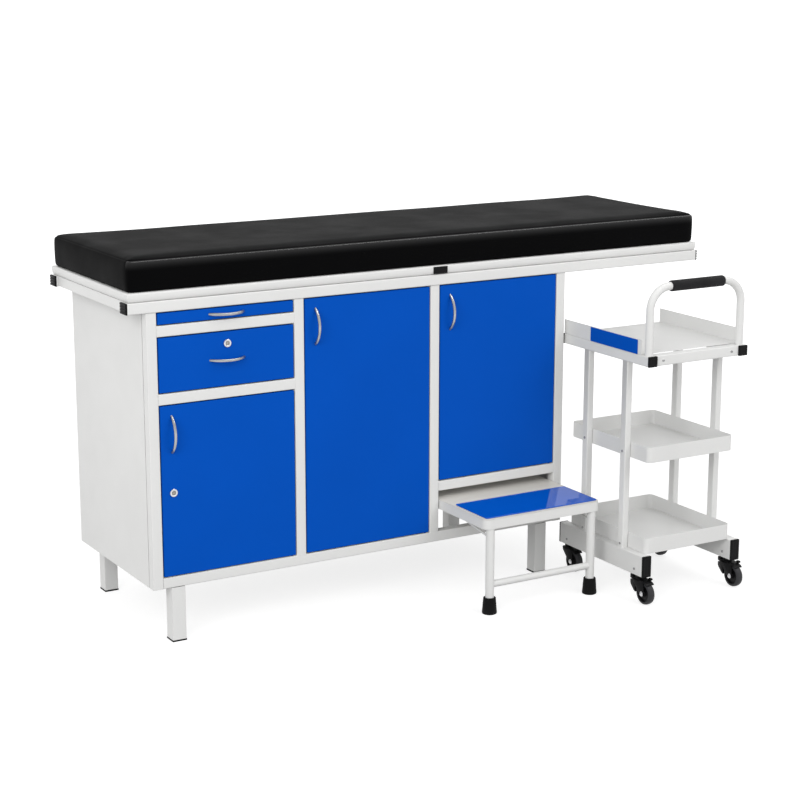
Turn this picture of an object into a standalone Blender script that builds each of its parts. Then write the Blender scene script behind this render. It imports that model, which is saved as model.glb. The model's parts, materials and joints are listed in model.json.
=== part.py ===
"""Cabinet examination couch with mattress, drawers, cupboards, a pull-out step and an instrument trolley.

Metres, +Z up. Sizes are laid out in couch coordinates: X runs from the left end of the couch top,
Y from its front face to the back, and Z from the floor. The root empty then moves the whole set so
that its origin lies on the floor at the middle of its footprint.
"""

import math

import bmesh
import bpy
from mathutils import Matrix, Vector

# Fits and stock sizes
SEAT = 0.0003
SHEET = 0.0012
TUBE_WALL = 0.0015
TUBE_CORNER = 0.003
WELD = TUBE_WALL / 2
ROUND_SIDES = 16
SHARP_ANGLE = math.radians(35.0)

# Couch top
TOP_LENGTH = 1.850
TOP_WIDTH = 0.550
TOP_RAIL_HEIGHT = 0.030
TOP_RAIL_DEPTH = 0.040
END_BAR_WIDTH = 0.030
END_BAR_INSET = 0.006
RIM_HEIGHT = 0.025
RIM_ROUNDING = 0.0015
MATTRESS_THICKNESS = 0.085
MATTRESS_INSET = 0.004
MATTRESS_CROWN = 0.003
MATTRESS_DRAW_IN = 0.004
MATTRESS_ROUNDING = 0.010
MATTRESS_CUTS = {"X": 13, "Y": 5, "Z": 1}
BOARD_THICKNESS = 0.010
BOARD_MARGIN = 0.030
PLATE_CENTRE_X = 0.940
PLATE_WIDTH = 0.046
PLATE_HEIGHT = 0.020
PLATE_THICKNESS = 0.0015

# Cabinet
CABINET_LEFT = 0.051
CABINET_FRONT = 0.004
CABINET_SETBACK = 0.020
FRAME_TUBE = 0.030
BAY_WIDTH = 0.400
BAY_COUNT = 3
LOWER_DOOR_OPENING = 0.473
DEEP_DRAWER_OPENING = 0.152
SLIM_DRAWER_OPENING = 0.036
STEP_BAY_OPENING = 0.120
LEG_HEIGHT = 0.154
LEG_TUBE = 0.040
LEG_INSET = 0.052
SHELF_HEIGHT = 0.340
SHELF_LIP = 0.020
SHELF_SETBACK = 0.020

# Doors, drawers and their fittings
PANEL_DEPTH = 0.018
PANEL_GAP = 0.003
PANEL_ROUNDING = 0.0010
HINGE_INSET = 0.010
HINGE_SETBACK = 0.006
HINGE_PIN_RADIUS = 0.003
HINGE_PIN_REACH = 0.004
DRAWER_DEPTH = 0.420
DRAWER_SIDE_GAP = 0.006
DRAWER_LIFT = 0.004
SLIM_TRAY_HEIGHT = 0.024
DEEP_TRAY_HEIGHT = 0.118
RUNNER_LEDGE = 0.012
RUNNER_LENGTH = 0.430
RUNNER_FLANGE = 0.012
HANDLE_SPAN = 0.096
HANDLE_PROJECTION = 0.028
HANDLE_RADIUS = 0.004
HANDLE_OVERRUN = 6.0
HANDLE_SIDE = 0.032
HANDLE_DROP = 0.030
LOCK_DROP = 0.031
DOOR_LOCK_DROP = 0.237
LOCK_HEAD_RADIUS = 0.011
LOCK_HEAD_HEIGHT = 0.004
LOCK_BARREL_RADIUS = 0.007
LOCK_BARREL_LENGTH = 0.012
LOCK_CAM_LENGTH = 0.018
LOCK_CAM_WIDTH = 0.006
LOCK_CAM_THICKNESS = 0.002
KEY_SLOT_LENGTH = 0.008
KEY_SLOT_WIDTH = 0.0014
KEY_SLOT_DEPTH = 0.0025

# Pull-out step
STEP_RISE = 0.095
STEP_REACH = 0.245
STEP_DEPTH = 0.400
STEP_SIDE_GAP = 0.003
STEP_TUBE = 0.027
STEP_CORNER = 0.020
STEP_PLATE = 0.002
STEP_MAT = 0.003
STEP_MAT_DEPTH = 0.165
STEP_MAT_MARGIN = 0.008
STEP_LEG_RADIUS = 0.0125
STEP_LEG_INSET = 0.024
STEP_LEG_SETBACK = 0.0135
STEP_BAR_RADIUS = 0.010
STEP_BAR_HEIGHT = 0.085
STEP_STAY_RADIUS = 0.003
STEP_STAY_RUN = 0.170
STEP_STAY_DROP = 0.026
FERRULE_HEIGHT = 0.048
FERRULE_TOP_RADIUS = 0.018
FERRULE_FOOT_RADIUS = 0.0215
FERRULE_FLOOR = 0.008
FERRULE_CHAMFER = 0.002
GUIDE_LENGTH = 0.370
GUIDE_LEDGE = 0.020
GUIDE_FLANGE = 0.018

# Instrument trolley, drawn out of its bay
TROLLEY_LEFT = 1.380
TROLLEY_FRONT = -0.385
TROLLEY_WIDTH = 0.353
TROLLEY_DEPTH = 0.400
TROLLEY_RAIL = 0.030
TROLLEY_FOOT_RAIL = 0.062
TROLLEY_TOP = 0.722
POST_WIDTH = 0.020
POST_DEPTH = 0.025
POST_SPACING = 0.183
TRAY_WALL = 0.045
TRAY_CORNER = 0.015
TRAY_SETBACK = 0.013
MIDDLE_TRAY_BASE = 0.410
TOP_UPSTAND = 0.043
TOP_TRAY_SETBACK = 0.032
TRIM_FRONT_SETBACK = 0.047
TRIM_LENGTH = 0.221
TRIM_THICKNESS = 0.002
TRIM_MARGIN = 0.002
GRAB_HEIGHT = 0.190
GRAB_RADIUS = 0.0115
GRAB_BEND = 0.065
GRAB_SETBACK = 0.016
GRIP_LENGTH = 0.186
GRIP_RADIUS = 0.0155

# Castors
CASTOR_HEIGHT = 0.080
CASTOR_SETBACK = 0.026
CASTOR_TRAIL = 0.028
WHEEL_RADIUS = 0.0325
WHEEL_WIDTH = 0.022
AXLE_RADIUS = 0.004
FORK_SIDE_GAP = 0.0015
FORK_PLATE = 0.0025
FORK_CROWN_TOP = 0.072
FORK_NOSE = 0.013
FORK_TAIL = 0.006
FORK_EYE_RADIUS = 0.009
COLLAR_RADIUS = 0.012
STEM_RADIUS = 0.005
STEM_LENGTH = 0.030
PEDAL_BARREL_RADIUS = 0.003
PEDAL_LENGTH = 0.022
PEDAL_THICKNESS = 0.003
PEDAL_FALL = math.radians(20.0)

# Levels worked out from the sizes above
FLOOR_RAIL_TOP = LEG_HEIGHT + FRAME_TUBE
LOWER_DOOR_TOP = FLOOR_RAIL_TOP + LOWER_DOOR_OPENING
DEEP_DRAWER_BASE = LOWER_DOOR_TOP + FRAME_TUBE
DEEP_DRAWER_TOP = DEEP_DRAWER_BASE + DEEP_DRAWER_OPENING
SLIM_DRAWER_BASE = DEEP_DRAWER_TOP + FRAME_TUBE
CABINET_TOP = SLIM_DRAWER_BASE + SLIM_DRAWER_OPENING
STEP_BAY_TOP = FLOOR_RAIL_TOP + STEP_BAY_OPENING
RIGHT_DOOR_BASE = STEP_BAY_TOP + FRAME_TUBE
STEP_TOP = FLOOR_RAIL_TOP + STEP_RISE
TOP_RAIL_BASE = CABINET_TOP + SEAT
RIM_BASE = TOP_RAIL_BASE + TOP_RAIL_HEIGHT + SEAT
MATTRESS_BASE = RIM_BASE + RIM_HEIGHT + SEAT

# Places worked out from the sizes above
BAY_PITCH = BAY_WIDTH + FRAME_TUBE
CABINET_RIGHT = CABINET_LEFT + FRAME_TUBE + BAY_COUNT * BAY_PITCH
FRAME_BACK = CABINET_FRONT + FRAME_TUBE
PANEL_BACK = CABINET_FRONT + PANEL_DEPTH
SIDE_LEFT_INNER = CABINET_LEFT + SHEET + SEAT
SIDE_RIGHT_INNER = CABINET_RIGHT - SHEET - SEAT
CABINET_BACK = TOP_WIDTH - CABINET_SETBACK
BACK_INNER = CABINET_BACK - SHEET - SEAT
BACK_TUBE_FRONT = BACK_INNER - FRAME_TUBE
STEP_FRONT = CABINET_FRONT - STEP_REACH
STEP_FRAME_TOP = STEP_TOP - STEP_PLATE - SEAT
STEP_FRAME_BASE = STEP_FRAME_TOP - STEP_TUBE
TROLLEY_RIGHT = TROLLEY_LEFT + TROLLEY_WIDTH
TROLLEY_BACK = TROLLEY_FRONT + TROLLEY_DEPTH
FOOT_RAIL_TOP = CASTOR_HEIGHT + TROLLEY_FOOT_RAIL
TOP_RAIL_TOP = TROLLEY_TOP - SEAT
POST_INSET = TUBE_CORNER + POST_WIDTH
SET_FRONT = TROLLEY_FRONT + CASTOR_SETBACK - CASTOR_TRAIL - WHEEL_RADIUS
SET_CENTRE = Vector((TOP_LENGTH / 2, (SET_FRONT + TOP_WIDTH) / 2, 0.0))

AXES = {"X": Vector((1, 0, 0)), "Y": Vector((0, 1, 0)), "Z": Vector((0, 0, 1))}


def bay_left(bay):
    """X of the left side of a bay's opening, counted from 0 at the drawers."""
    return CABINET_LEFT + FRAME_TUBE + bay * BAY_PITCH


def bay_right(bay):
    return bay_left(bay) + BAY_WIDTH


def stile_centre(bay):
    """X of the middle of the stile on a bay's right side."""
    return bay_right(bay) + FRAME_TUBE / 2


# Scene, groups and finishes


def clear_scene():
    for piece in list(bpy.data.objects):
        bpy.data.objects.remove(piece)


def new_collection(name):
    made = bpy.data.collections.new(name)
    bpy.context.scene.collection.children.link(made)
    return made


clear_scene()
PARTS = new_collection("examination_couch")
CUTTERS = new_collection("cutters")
ANCHORS = {}


def new_group(name, at, parent=None):
    """An empty that carries pieces. It lies on their joint's axis, at a point in couch coordinates."""
    empty = bpy.data.objects.new(name, None)
    PARTS.objects.link(empty)
    empty.empty_display_size = 0.05
    empty.parent = parent
    empty.location = Vector(at) - (ANCHORS[parent.name] if parent else SET_CENTRE)
    ANCHORS[empty.name] = Vector(at)
    return empty


def new_finish(name, colour, roughness, metallic=0.0):
    made = bpy.data.materials.new(name)
    made.use_nodes = True
    shader = made.node_tree.nodes["Principled BSDF"]
    shader.inputs["Base Color"].default_value = (*colour, 1.0)
    shader.inputs["Roughness"].default_value = roughness
    shader.inputs["Metallic"].default_value = metallic
    return made


WHITE_PAINT = new_finish("white_powder_coat", (0.84, 0.84, 0.83), 0.35)
BLUE_PAINT = new_finish("blue_powder_coat", (0.003, 0.085, 0.52), 0.32)
BLACK_VINYL = new_finish("black_vinyl", (0.012, 0.012, 0.013), 0.42)
PLYWOOD = new_finish("plywood", (0.55, 0.40, 0.24), 0.7)
CHROME = new_finish("satin_chrome", (0.72, 0.72, 0.72), 0.25, 1.0)
TREAD_STEEL = new_finish("tread_steel", (0.58, 0.56, 0.51), 0.4)
BLUE_MAT = new_finish("blue_step_mat", (0.003, 0.085, 0.52), 0.12)
BLACK_RUBBER = new_finish("black_rubber", (0.012, 0.012, 0.012), 0.6)
BLACK_PLASTIC = new_finish("black_plastic", (0.015, 0.015, 0.016), 0.45)
BLACK_FOAM = new_finish("black_foam", (0.010, 0.010, 0.010), 0.8)
TYRE_GREY = new_finish("castor_tread", (0.045, 0.045, 0.048), 0.55)

ROOT = new_group("couch_set", (0.0, 0.0, 0.0))


def add_piece(name, mesh, at, group, finish):
    """Places a mesh in couch coordinates, carried by a group."""
    piece = bpy.data.objects.new(name, mesh)
    PARTS.objects.link(piece)
    piece.parent = group
    piece.location = Vector(at) - ANCHORS[group.name]
    mesh.materials.clear()
    mesh.materials.append(finish)
    return piece


def add_cutter(mesh, at, group):
    """A helper solid that is joined to a piece or cut from it, and then removed."""
    cutter = bpy.data.objects.new("cutter", mesh)
    CUTTERS.objects.link(cutter)
    cutter.parent = group
    cutter.location = Vector(at) - ANCHORS[group.name]
    cutter.hide_render = True
    cutter.display_type = "WIRE"
    return cutter


def combine(piece, operation, cutters):
    """Joins the cutters to the piece, or cuts them from it, and keeps the result as its mesh."""
    finish = piece.data.materials[0]
    for cutter in cutters:
        change = piece.modifiers.new(operation.lower(), "BOOLEAN")
        change.operation = operation
        change.object = cutter
    bpy.context.view_layer.update()
    graph = bpy.context.evaluated_depsgraph_get()
    mesh = bpy.data.meshes.new_from_object(piece.evaluated_get(graph))
    piece.modifiers.clear()
    piece.data = mesh
    mesh.materials.clear()
    mesh.materials.append(finish)
    for cutter in cutters:
        bpy.data.objects.remove(cutter)


# Basic shapes, each centred on its own origin


def to_mesh(shape, smooth=False):
    mesh = bpy.data.meshes.new("shape")
    shape.to_mesh(mesh)
    shape.free()
    if smooth:
        mesh.shade_smooth()
        mesh.set_sharp_from_angle(angle=SHARP_ANGLE)
    return mesh


def block_shape(size):
    shape = bmesh.new()
    bmesh.ops.create_cube(shape, size=1.0)
    bmesh.ops.scale(shape, vec=size, verts=shape.verts)
    return shape


def edges_along(shape, axis):
    """The edges of a block that run along one axis."""
    found = []
    for edge in shape.edges:
        first, second = edge.verts
        if (second.co - first.co).cross(axis).length < SEAT:
            found.append(edge)
    return found


def face_towards(shape, direction):
    return max(shape.faces, key=lambda face: face.normal.dot(direction))


def block_mesh(size, rounding=0.0):
    shape = block_shape(size)
    if rounding:
        bmesh.ops.bevel(shape, geom=shape.edges, offset=rounding, segments=1, affect="EDGES")
    return to_mesh(shape)


def bar_mesh(size, axis, corner=TUBE_CORNER):
    """A rectangular bar whose long edges are rounded."""
    shape = block_shape(size)
    long_edges = edges_along(shape, AXES[axis])
    bmesh.ops.bevel(shape, geom=long_edges, offset=corner, segments=2, profile=0.5, affect="EDGES")
    return to_mesh(shape)


def pan_mesh(size, opening, wall, rounding=0.0, corner=0.0):
    """A folded sheet pan: a block hollowed from the side that the opening direction points to."""
    shape = block_shape(size)
    opening = Vector(opening)
    if corner:
        walls = edges_along(shape, opening)
        bmesh.ops.bevel(shape, geom=walls, offset=corner, segments=3, profile=0.5, affect="EDGES")
    shape.normal_update()
    if rounding:
        back = face_towards(shape, opening)
        bmesh.ops.bevel(
            shape,
            geom=[edge for edge in shape.edges if back not in edge.link_faces],
            offset=rounding,
            segments=1,
            affect="EDGES",
        )
        shape.normal_update()
    mouth = face_towards(shape, opening)
    depth = abs(Vector(size).dot(opening)) - wall
    bmesh.ops.inset_region(shape, faces=[mouth], thickness=wall, use_even_offset=True)
    bmesh.ops.inset_region(shape, faces=[mouth], thickness=0.0, depth=-depth)
    return to_mesh(shape)


def rod_mesh(radius, length, axis="Z", sides=ROUND_SIDES):
    shape = bmesh.new()
    bmesh.ops.create_cone(
        shape, cap_ends=True, segments=sides, radius1=radius, radius2=radius, depth=length
    )
    turn = AXES["Z"].rotation_difference(AXES[axis]).to_matrix()
    bmesh.ops.rotate(shape, matrix=turn, verts=shape.verts)
    return to_mesh(shape, smooth=True)


def turned_mesh(profile, axis="Z", sides=ROUND_SIDES, closed=False):
    """A turned shape. The profile holds (radius, height) points and runs down its outer side."""
    shape = bmesh.new()
    points = [shape.verts.new((radius, 0.0, height)) for radius, height in profile]
    for first, second in zip(points, points[1:]):
        shape.edges.new((first, second))
    if closed:
        shape.edges.new((points[-1], points[0]))
    blank = bpy.data.objects.new("turning", to_mesh(shape))
    CUTTERS.objects.link(blank)
    lathe = blank.modifiers.new("lathe", "SCREW")
    lathe.steps = lathe.render_steps = sides
    lathe.use_merge_vertices = True
    lathe.merge_threshold = 0.00001
    bpy.context.view_layer.update()
    mesh = bpy.data.meshes.new_from_object(blank.evaluated_get(bpy.context.evaluated_depsgraph_get()))
    bpy.data.objects.remove(blank)
    mesh.transform(AXES["Z"].rotation_difference(AXES[axis]).to_matrix().to_4x4())
    mesh.shade_smooth()
    mesh.set_sharp_from_angle(angle=SHARP_ANGLE)
    return mesh


def curve_mesh(curve, weld=0.00001):
    """The mesh of a curve, with its caps welded to its sides."""
    blank = bpy.data.objects.new("curve", curve)
    CUTTERS.objects.link(blank)
    bpy.context.view_layer.update()
    mesh = bpy.data.meshes.new_from_object(blank.evaluated_get(bpy.context.evaluated_depsgraph_get()))
    bpy.data.objects.remove(blank)
    shape = bmesh.new()
    shape.from_mesh(mesh)
    bmesh.ops.remove_doubles(shape, verts=shape.verts, dist=weld)
    bmesh.ops.recalc_face_normals(shape, faces=shape.faces)
    return to_mesh(shape, smooth=True)


def add_spline(curve, points, cyclic):
    spline = curve.splines.new("POLY")
    spline.points.add(len(points) - 1)
    for point, place in zip(spline.points, points):
        point.co = (*place, 1.0)
    spline.use_cyclic_u = cyclic


def tube_mesh(points, radius, resolution=3):
    """A round bar bent along a line of points."""
    curve = bpy.data.curves.new("tube", "CURVE")
    curve.dimensions = "3D"
    curve.bevel_depth = radius
    curve.bevel_resolution = resolution
    curve.use_fill_caps = True
    add_spline(curve, points, cyclic=False)
    return curve_mesh(curve)


def outline_mesh(outlines, thickness):
    """A flat plate from closed outlines in XY, where an outline inside another is a hole."""
    curve = bpy.data.curves.new("outline", "CURVE")
    curve.dimensions = "2D"
    curve.fill_mode = "BOTH"
    curve.extrude = thickness / 2
    for outline in outlines:
        add_spline(curve, [(x, y, 0.0) for x, y in outline], cyclic=True)
    return curve_mesh(curve)


def arc_points(centre, radius, start, end, steps):
    """Points on an arc in a plane, by angles in degrees."""
    angles = [math.radians(start + (end - start) * step / steps) for step in range(steps + 1)]
    return [(centre[0] + radius * math.cos(a), centre[1] + radius * math.sin(a)) for a in angles]


def span(low, high):
    """Size and centre of the box between two corners."""
    low = Vector(low)
    high = Vector(high)
    return high - low, (low + high) / 2


def add_block(name, low, high, group, finish, rounding=0.0):
    size, centre = span(low, high)
    return add_piece(name, block_mesh(size, rounding), centre, group, finish)


def add_pan(name, low, high, opening, group, finish, wall=SHEET, rounding=0.0, corner=0.0):
    size, centre = span(low, high)
    return add_piece(name, pan_mesh(size, opening, wall, rounding, corner), centre, group, finish)


def block_cutter(low, high, group):
    size, centre = span(low, high)
    return add_cutter(block_mesh(size), centre, group)


def rod_cutter(centre, radius, length, axis, group):
    return add_cutter(rod_mesh(radius, length, axis), centre, group)


def bore_corners(low, high, axis):
    """Corners of the hollow inside a tube, long enough to open into the tube that it meets."""
    along = AXES[axis]
    grow = Vector([2 * TUBE_WALL if part else -TUBE_WALL for part in along])
    return Vector(low) - grow, Vector(high) + grow


def add_tube_frame(name, bars, group, finish):
    """Rectangular tubes welded into one hollow frame. A bar is its two corners and its axis."""
    low, high, axis = bars[0]
    size, centre = span(low, high)
    frame = add_piece(name, bar_mesh(size, axis), centre, group, finish)
    others = []
    for low, high, axis in bars[1:]:
        size, centre = span(low, high)
        others.append(add_cutter(bar_mesh(size, axis), centre, group))
    combine(frame, "UNION", others)
    bores = [block_cutter(*bore_corners(low, high, axis), group) for low, high, axis in bars]
    combine(frame, "DIFFERENCE", bores)
    return frame


# Couch top


def hinge_axis(bay):
    """X and Y of a door's pivot pins, near the right edge of its bay."""
    return bay_right(bay) - PANEL_GAP - HINGE_INSET, CABINET_FRONT + HINGE_SETBACK


def pin_hole(bay, height):
    """A hole for a door's pivot pin, through the tube wall at a height."""
    x, y = hinge_axis(bay)
    return rod_cutter((x, y, height), HINGE_PIN_RADIUS + SEAT, 2 * FRAME_TUBE / 3, "Z", ROOT)


def build_top_frame():
    """Two long rails with an end bar between them at each end, under the sheet top."""
    base, top = TOP_RAIL_BASE, TOP_RAIL_BASE + TOP_RAIL_HEIGHT
    bars = [
        ((0.0, 0.0, base), (TOP_LENGTH, TOP_RAIL_DEPTH, top), "X"),
        ((0.0, TOP_WIDTH - TOP_RAIL_DEPTH, base), (TOP_LENGTH, TOP_WIDTH, top), "X"),
    ]
    for left in (END_BAR_INSET, TOP_LENGTH - END_BAR_INSET - END_BAR_WIDTH):
        low = (left, TOP_RAIL_DEPTH - WELD, base)
        high = (left + END_BAR_WIDTH, TOP_WIDTH - TOP_RAIL_DEPTH + WELD, top)
        bars.append((low, high, "Y"))
    frame = add_tube_frame("top_frame", bars, ROOT, WHITE_PAINT)
    combine(frame, "DIFFERENCE", [pin_hole(bay, base) for bay in (1, 2)])


def build_top_sheet():
    low = (0.0, 0.0, RIM_BASE)
    high = (TOP_LENGTH, TOP_WIDTH, RIM_BASE + RIM_HEIGHT)
    add_pan("top_sheet", low, high, (0, 0, -1), ROOT, WHITE_PAINT, rounding=RIM_ROUNDING)


def cushion_mesh(size):
    """A block cushion: its top is crowned and its sides are drawn in towards the base."""
    shape = block_shape(size)
    for axis, cuts in MATTRESS_CUTS.items():
        edges = edges_along(shape, AXES[axis])
        bmesh.ops.subdivide_edges(shape, edges=edges, cuts=cuts, use_grid_fill=True)
    rims = [edge for edge in shape.edges if edge.calc_face_angle() > SHARP_ANGLE]
    bmesh.ops.bevel(shape, geom=rims, offset=MATTRESS_ROUNDING, segments=2, profile=0.5, affect="EDGES")
    half = Vector(size) / 2
    for point in shape.verts:
        across = (1 - (point.co.x / half.x) ** 2) * (1 - (point.co.y / half.y) ** 2)
        low = (half.z - point.co.z) / size[2]
        draw = 1 - low * low
        edge_x = abs(point.co.x) > half.x - 2 * MATTRESS_ROUNDING
        edge_y = abs(point.co.y) > half.y - 2 * MATTRESS_ROUNDING
        if edge_x:
            point.co.x -= math.copysign(MATTRESS_DRAW_IN * (1 - draw), point.co.x)
        if edge_y:
            point.co.y -= math.copysign(MATTRESS_DRAW_IN * (1 - draw), point.co.y)
        if point.co.z > half.z - MATTRESS_ROUNDING / 2:
            point.co.z += MATTRESS_CROWN * across ** 0.5
    return to_mesh(shape, smooth=True)


def build_mattress():
    """The padded mattress, and the plywood board let into its underside."""
    size, centre = span(
        (MATTRESS_INSET, MATTRESS_INSET, MATTRESS_BASE),
        (TOP_LENGTH - MATTRESS_INSET, TOP_WIDTH - MATTRESS_INSET, MATTRESS_BASE + MATTRESS_THICKNESS),
    )
    mattress = add_piece("mattress", cushion_mesh(size), centre, ROOT, BLACK_VINYL)
    margin = MATTRESS_INSET + BOARD_MARGIN
    low = Vector((margin, margin, MATTRESS_BASE))
    high = Vector((TOP_LENGTH - margin, TOP_WIDTH - margin, MATTRESS_BASE + BOARD_THICKNESS))
    clear = Vector((SEAT, SEAT, SEAT))
    below = Vector((0.0, 0.0, BOARD_THICKNESS))
    combine(mattress, "DIFFERENCE", [block_cutter(low - clear - below, high + clear, ROOT)])
    add_block("mattress_board", low, high, ROOT, PLYWOOD)


def build_name_plate():
    """A plain plate on the front of the rim."""
    middle = RIM_BASE + RIM_HEIGHT / 2
    low = (PLATE_CENTRE_X - PLATE_WIDTH / 2, -SEAT - PLATE_THICKNESS, middle - PLATE_HEIGHT / 2)
    high = (PLATE_CENTRE_X + PLATE_WIDTH / 2, -SEAT, middle + PLATE_HEIGHT / 2)
    add_block("name_plate", low, high, ROOT, BLACK_PLASTIC)


# Cabinet


def build_face_frame():
    """The welded front frame: two end stiles, two inner stiles and the rails between them."""
    front, back = CABINET_FRONT, FRAME_BACK
    right_stile = bay_right(BAY_COUNT - 1)
    bars = [
        ((bay_left(0) - WELD, front, LEG_HEIGHT), (right_stile + WELD, back, FLOOR_RAIL_TOP), "X"),
        ((CABINET_LEFT, front, LEG_HEIGHT), (CABINET_LEFT + FRAME_TUBE, back, CABINET_TOP), "Z"),
        ((right_stile, front, LEG_HEIGHT), (CABINET_RIGHT, back, CABINET_TOP), "Z"),
    ]
    for bay in range(BAY_COUNT - 1):
        low = (bay_right(bay), front, FLOOR_RAIL_TOP - WELD)
        bars.append((low, (bay_left(bay + 1), back, CABINET_TOP), "Z"))
    for bay, base in ((0, LOWER_DOOR_TOP), (0, DEEP_DRAWER_TOP), (2, STEP_BAY_TOP)):
        low = (bay_left(bay) - WELD, front, base)
        bars.append((low, (bay_right(bay) + WELD, back, base + FRAME_TUBE), "X"))
    frame = add_tube_frame("face_frame", bars, ROOT, WHITE_PAINT)
    pins = ((0, FLOOR_RAIL_TOP), (0, LOWER_DOOR_TOP), (1, FLOOR_RAIL_TOP), (2, RIGHT_DOOR_BASE))
    combine(frame, "DIFFERENCE", [pin_hole(bay, height) for bay, height in pins])


def build_back_frame():
    """Two back posts, the rail between them and the side rails that run forward to the front frame."""
    front, back = BACK_TUBE_FRONT, BACK_INNER
    left, right = SIDE_LEFT_INNER, SIDE_RIGHT_INNER
    rail_left, rail_right = left + FRAME_TUBE - WELD, right - FRAME_TUBE + WELD
    bars = [
        ((left, front, LEG_HEIGHT), (left + FRAME_TUBE, back, CABINET_TOP), "Z"),
        ((right - FRAME_TUBE, front, LEG_HEIGHT), (right, back, CABINET_TOP), "Z"),
        ((rail_left, front, LEG_HEIGHT), (rail_right, back, FLOOR_RAIL_TOP), "X"),
    ]
    for edge in (left, right - FRAME_TUBE):
        low = (edge, FRAME_BACK + SEAT, LEG_HEIGHT)
        bars.append((low, (edge + FRAME_TUBE, front + WELD, FLOOR_RAIL_TOP), "Y"))
    add_tube_frame("back_frame", bars, ROOT, WHITE_PAINT)


def build_carcass():
    """The sheet panels that close the cabinet and part its bays."""
    front = FRAME_BACK + SEAT
    base, top = LEG_HEIGHT, CABINET_TOP
    for side, edge in (("left", CABINET_LEFT), ("right", CABINET_RIGHT - SHEET)):
        high = (edge + SHEET, CABINET_BACK, top)
        add_block("side_panel_" + side, (edge, front, base), high, ROOT, WHITE_PAINT)
    low = (SIDE_LEFT_INNER, CABINET_BACK - SHEET, base)
    add_block("back_panel", low, (SIDE_RIGHT_INNER, CABINET_BACK, top), ROOT, WHITE_PAINT)
    for name, bay in (("partition_left", 0), ("partition_right", 1)):
        low = (stile_centre(bay) - SHEET / 2, front, FLOOR_RAIL_TOP + SHEET + 2 * SEAT)
        add_block(name, low, (stile_centre(bay) + SHEET / 2, BACK_INNER, top), ROOT, WHITE_PAINT)
    low = (SIDE_LEFT_INNER, front, FLOOR_RAIL_TOP + SEAT)
    high = (stile_centre(1) + SHEET / 2, BACK_TUBE_FRONT - SEAT, FLOOR_RAIL_TOP + SEAT + SHEET)
    add_block("floor_panel", low, high, ROOT, WHITE_PAINT)
    low = (stile_centre(1) + SHEET / 2 + SEAT, front, RIGHT_DOOR_BASE - SHEET)
    high = (SIDE_RIGHT_INNER, BACK_TUBE_FRONT - SEAT, RIGHT_DOOR_BASE)
    add_block("step_bay_ceiling", low, high, ROOT, WHITE_PAINT)
    shelf = FLOOR_RAIL_TOP + SHELF_HEIGHT
    low = (stile_centre(0) + SHEET / 2 + SEAT, front + SHELF_SETBACK, shelf - SHELF_LIP)
    high = (stile_centre(1) - SHEET / 2 - SEAT, BACK_TUBE_FRONT - SHELF_SETBACK, shelf)
    add_pan("cupboard_shelf", low, high, (0, 0, -1), ROOT, WHITE_PAINT)


def build_legs():
    """Four square legs under the cabinet, each with a closed foot."""
    lefts = {"left": CABINET_LEFT + LEG_INSET, "right": CABINET_RIGHT - LEG_INSET - LEG_TUBE}
    fronts = {"front": CABINET_FRONT, "back": CABINET_BACK - SHEET - LEG_TUBE}
    for row, front in fronts.items():
        for side, left in lefts.items():
            low = (left, front, 0.0)
            high = (left + LEG_TUBE, front + LEG_TUBE, LEG_HEIGHT - SEAT)
            name = "leg_" + row + "_" + side
            add_pan(name, low, high, (0, 0, 1), ROOT, WHITE_PAINT, wall=TUBE_WALL, rounding=TUBE_WALL)


# Drawers


def tray_left():
    return bay_left(0) + DRAWER_SIDE_GAP


def tray_right():
    return bay_right(0) - DRAWER_SIDE_GAP


def build_drawer_runners():
    """Four angle runners on a back plate: each drawer's tray slides on the ledges at its two sides."""
    front = FRAME_BACK + SEAT
    back = front + RUNNER_LENGTH
    left, right = SIDE_LEFT_INNER, stile_centre(0) - SHEET / 2 - SEAT
    levels = [base + DRAWER_LIFT - SEAT for base in (DEEP_DRAWER_BASE, SLIM_DRAWER_BASE)]
    low = (left, back - TUBE_WALL, levels[0] - RUNNER_FLANGE)
    rack = add_block("drawer_runners", low, (right, back, levels[1]), ROOT, CHROME)
    cutters = []
    for level in levels:
        ledges = ((left, tray_left() + RUNNER_LEDGE), (tray_right() - RUNNER_LEDGE, right))
        for low_x, high_x in ledges:
            low = (low_x, front, level - TUBE_WALL)
            cutters.append(block_cutter(low, (high_x, back - WELD, level), ROOT))
        for low_x, high_x in ((left, left + TUBE_WALL), (right - TUBE_WALL, right)):
            low = (low_x, front, level - RUNNER_FLANGE)
            cutters.append(block_cutter(low, (high_x, back - WELD, level - WELD), ROOT))
    combine(rack, "UNION", cutters)


def add_handle(name, at, upright, group):
    """A bow handle on a panel's front, at the middle of its two feet: one arc, cut flush at the panel."""
    rise = HANDLE_PROJECTION - HANDLE_RADIUS
    radius = (HANDLE_SPAN ** 2 / 4 + rise ** 2) / (2 * rise)
    half = math.degrees(math.asin(HANDLE_SPAN / 2 / radius)) + HANDLE_OVERRUN
    arc = arc_points((0.0, radius - rise), radius, -90 - half, -90 + half, 12)
    if upright:
        bend = [(0.0, y, along) for along, y in arc]
    else:
        bend = [(along, y, 0.0) for along, y in arc]
    handle = add_piece(name, tube_mesh(bend, HANDLE_RADIUS, resolution=2), at, group, CHROME)
    low = Vector(at) + Vector((-HANDLE_SPAN, -SEAT, -HANDLE_SPAN))
    high = Vector(at) + Vector((HANDLE_SPAN, PANEL_DEPTH, HANDLE_SPAN))
    combine(handle, "DIFFERENCE", [block_cutter(low, high, group)])


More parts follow.
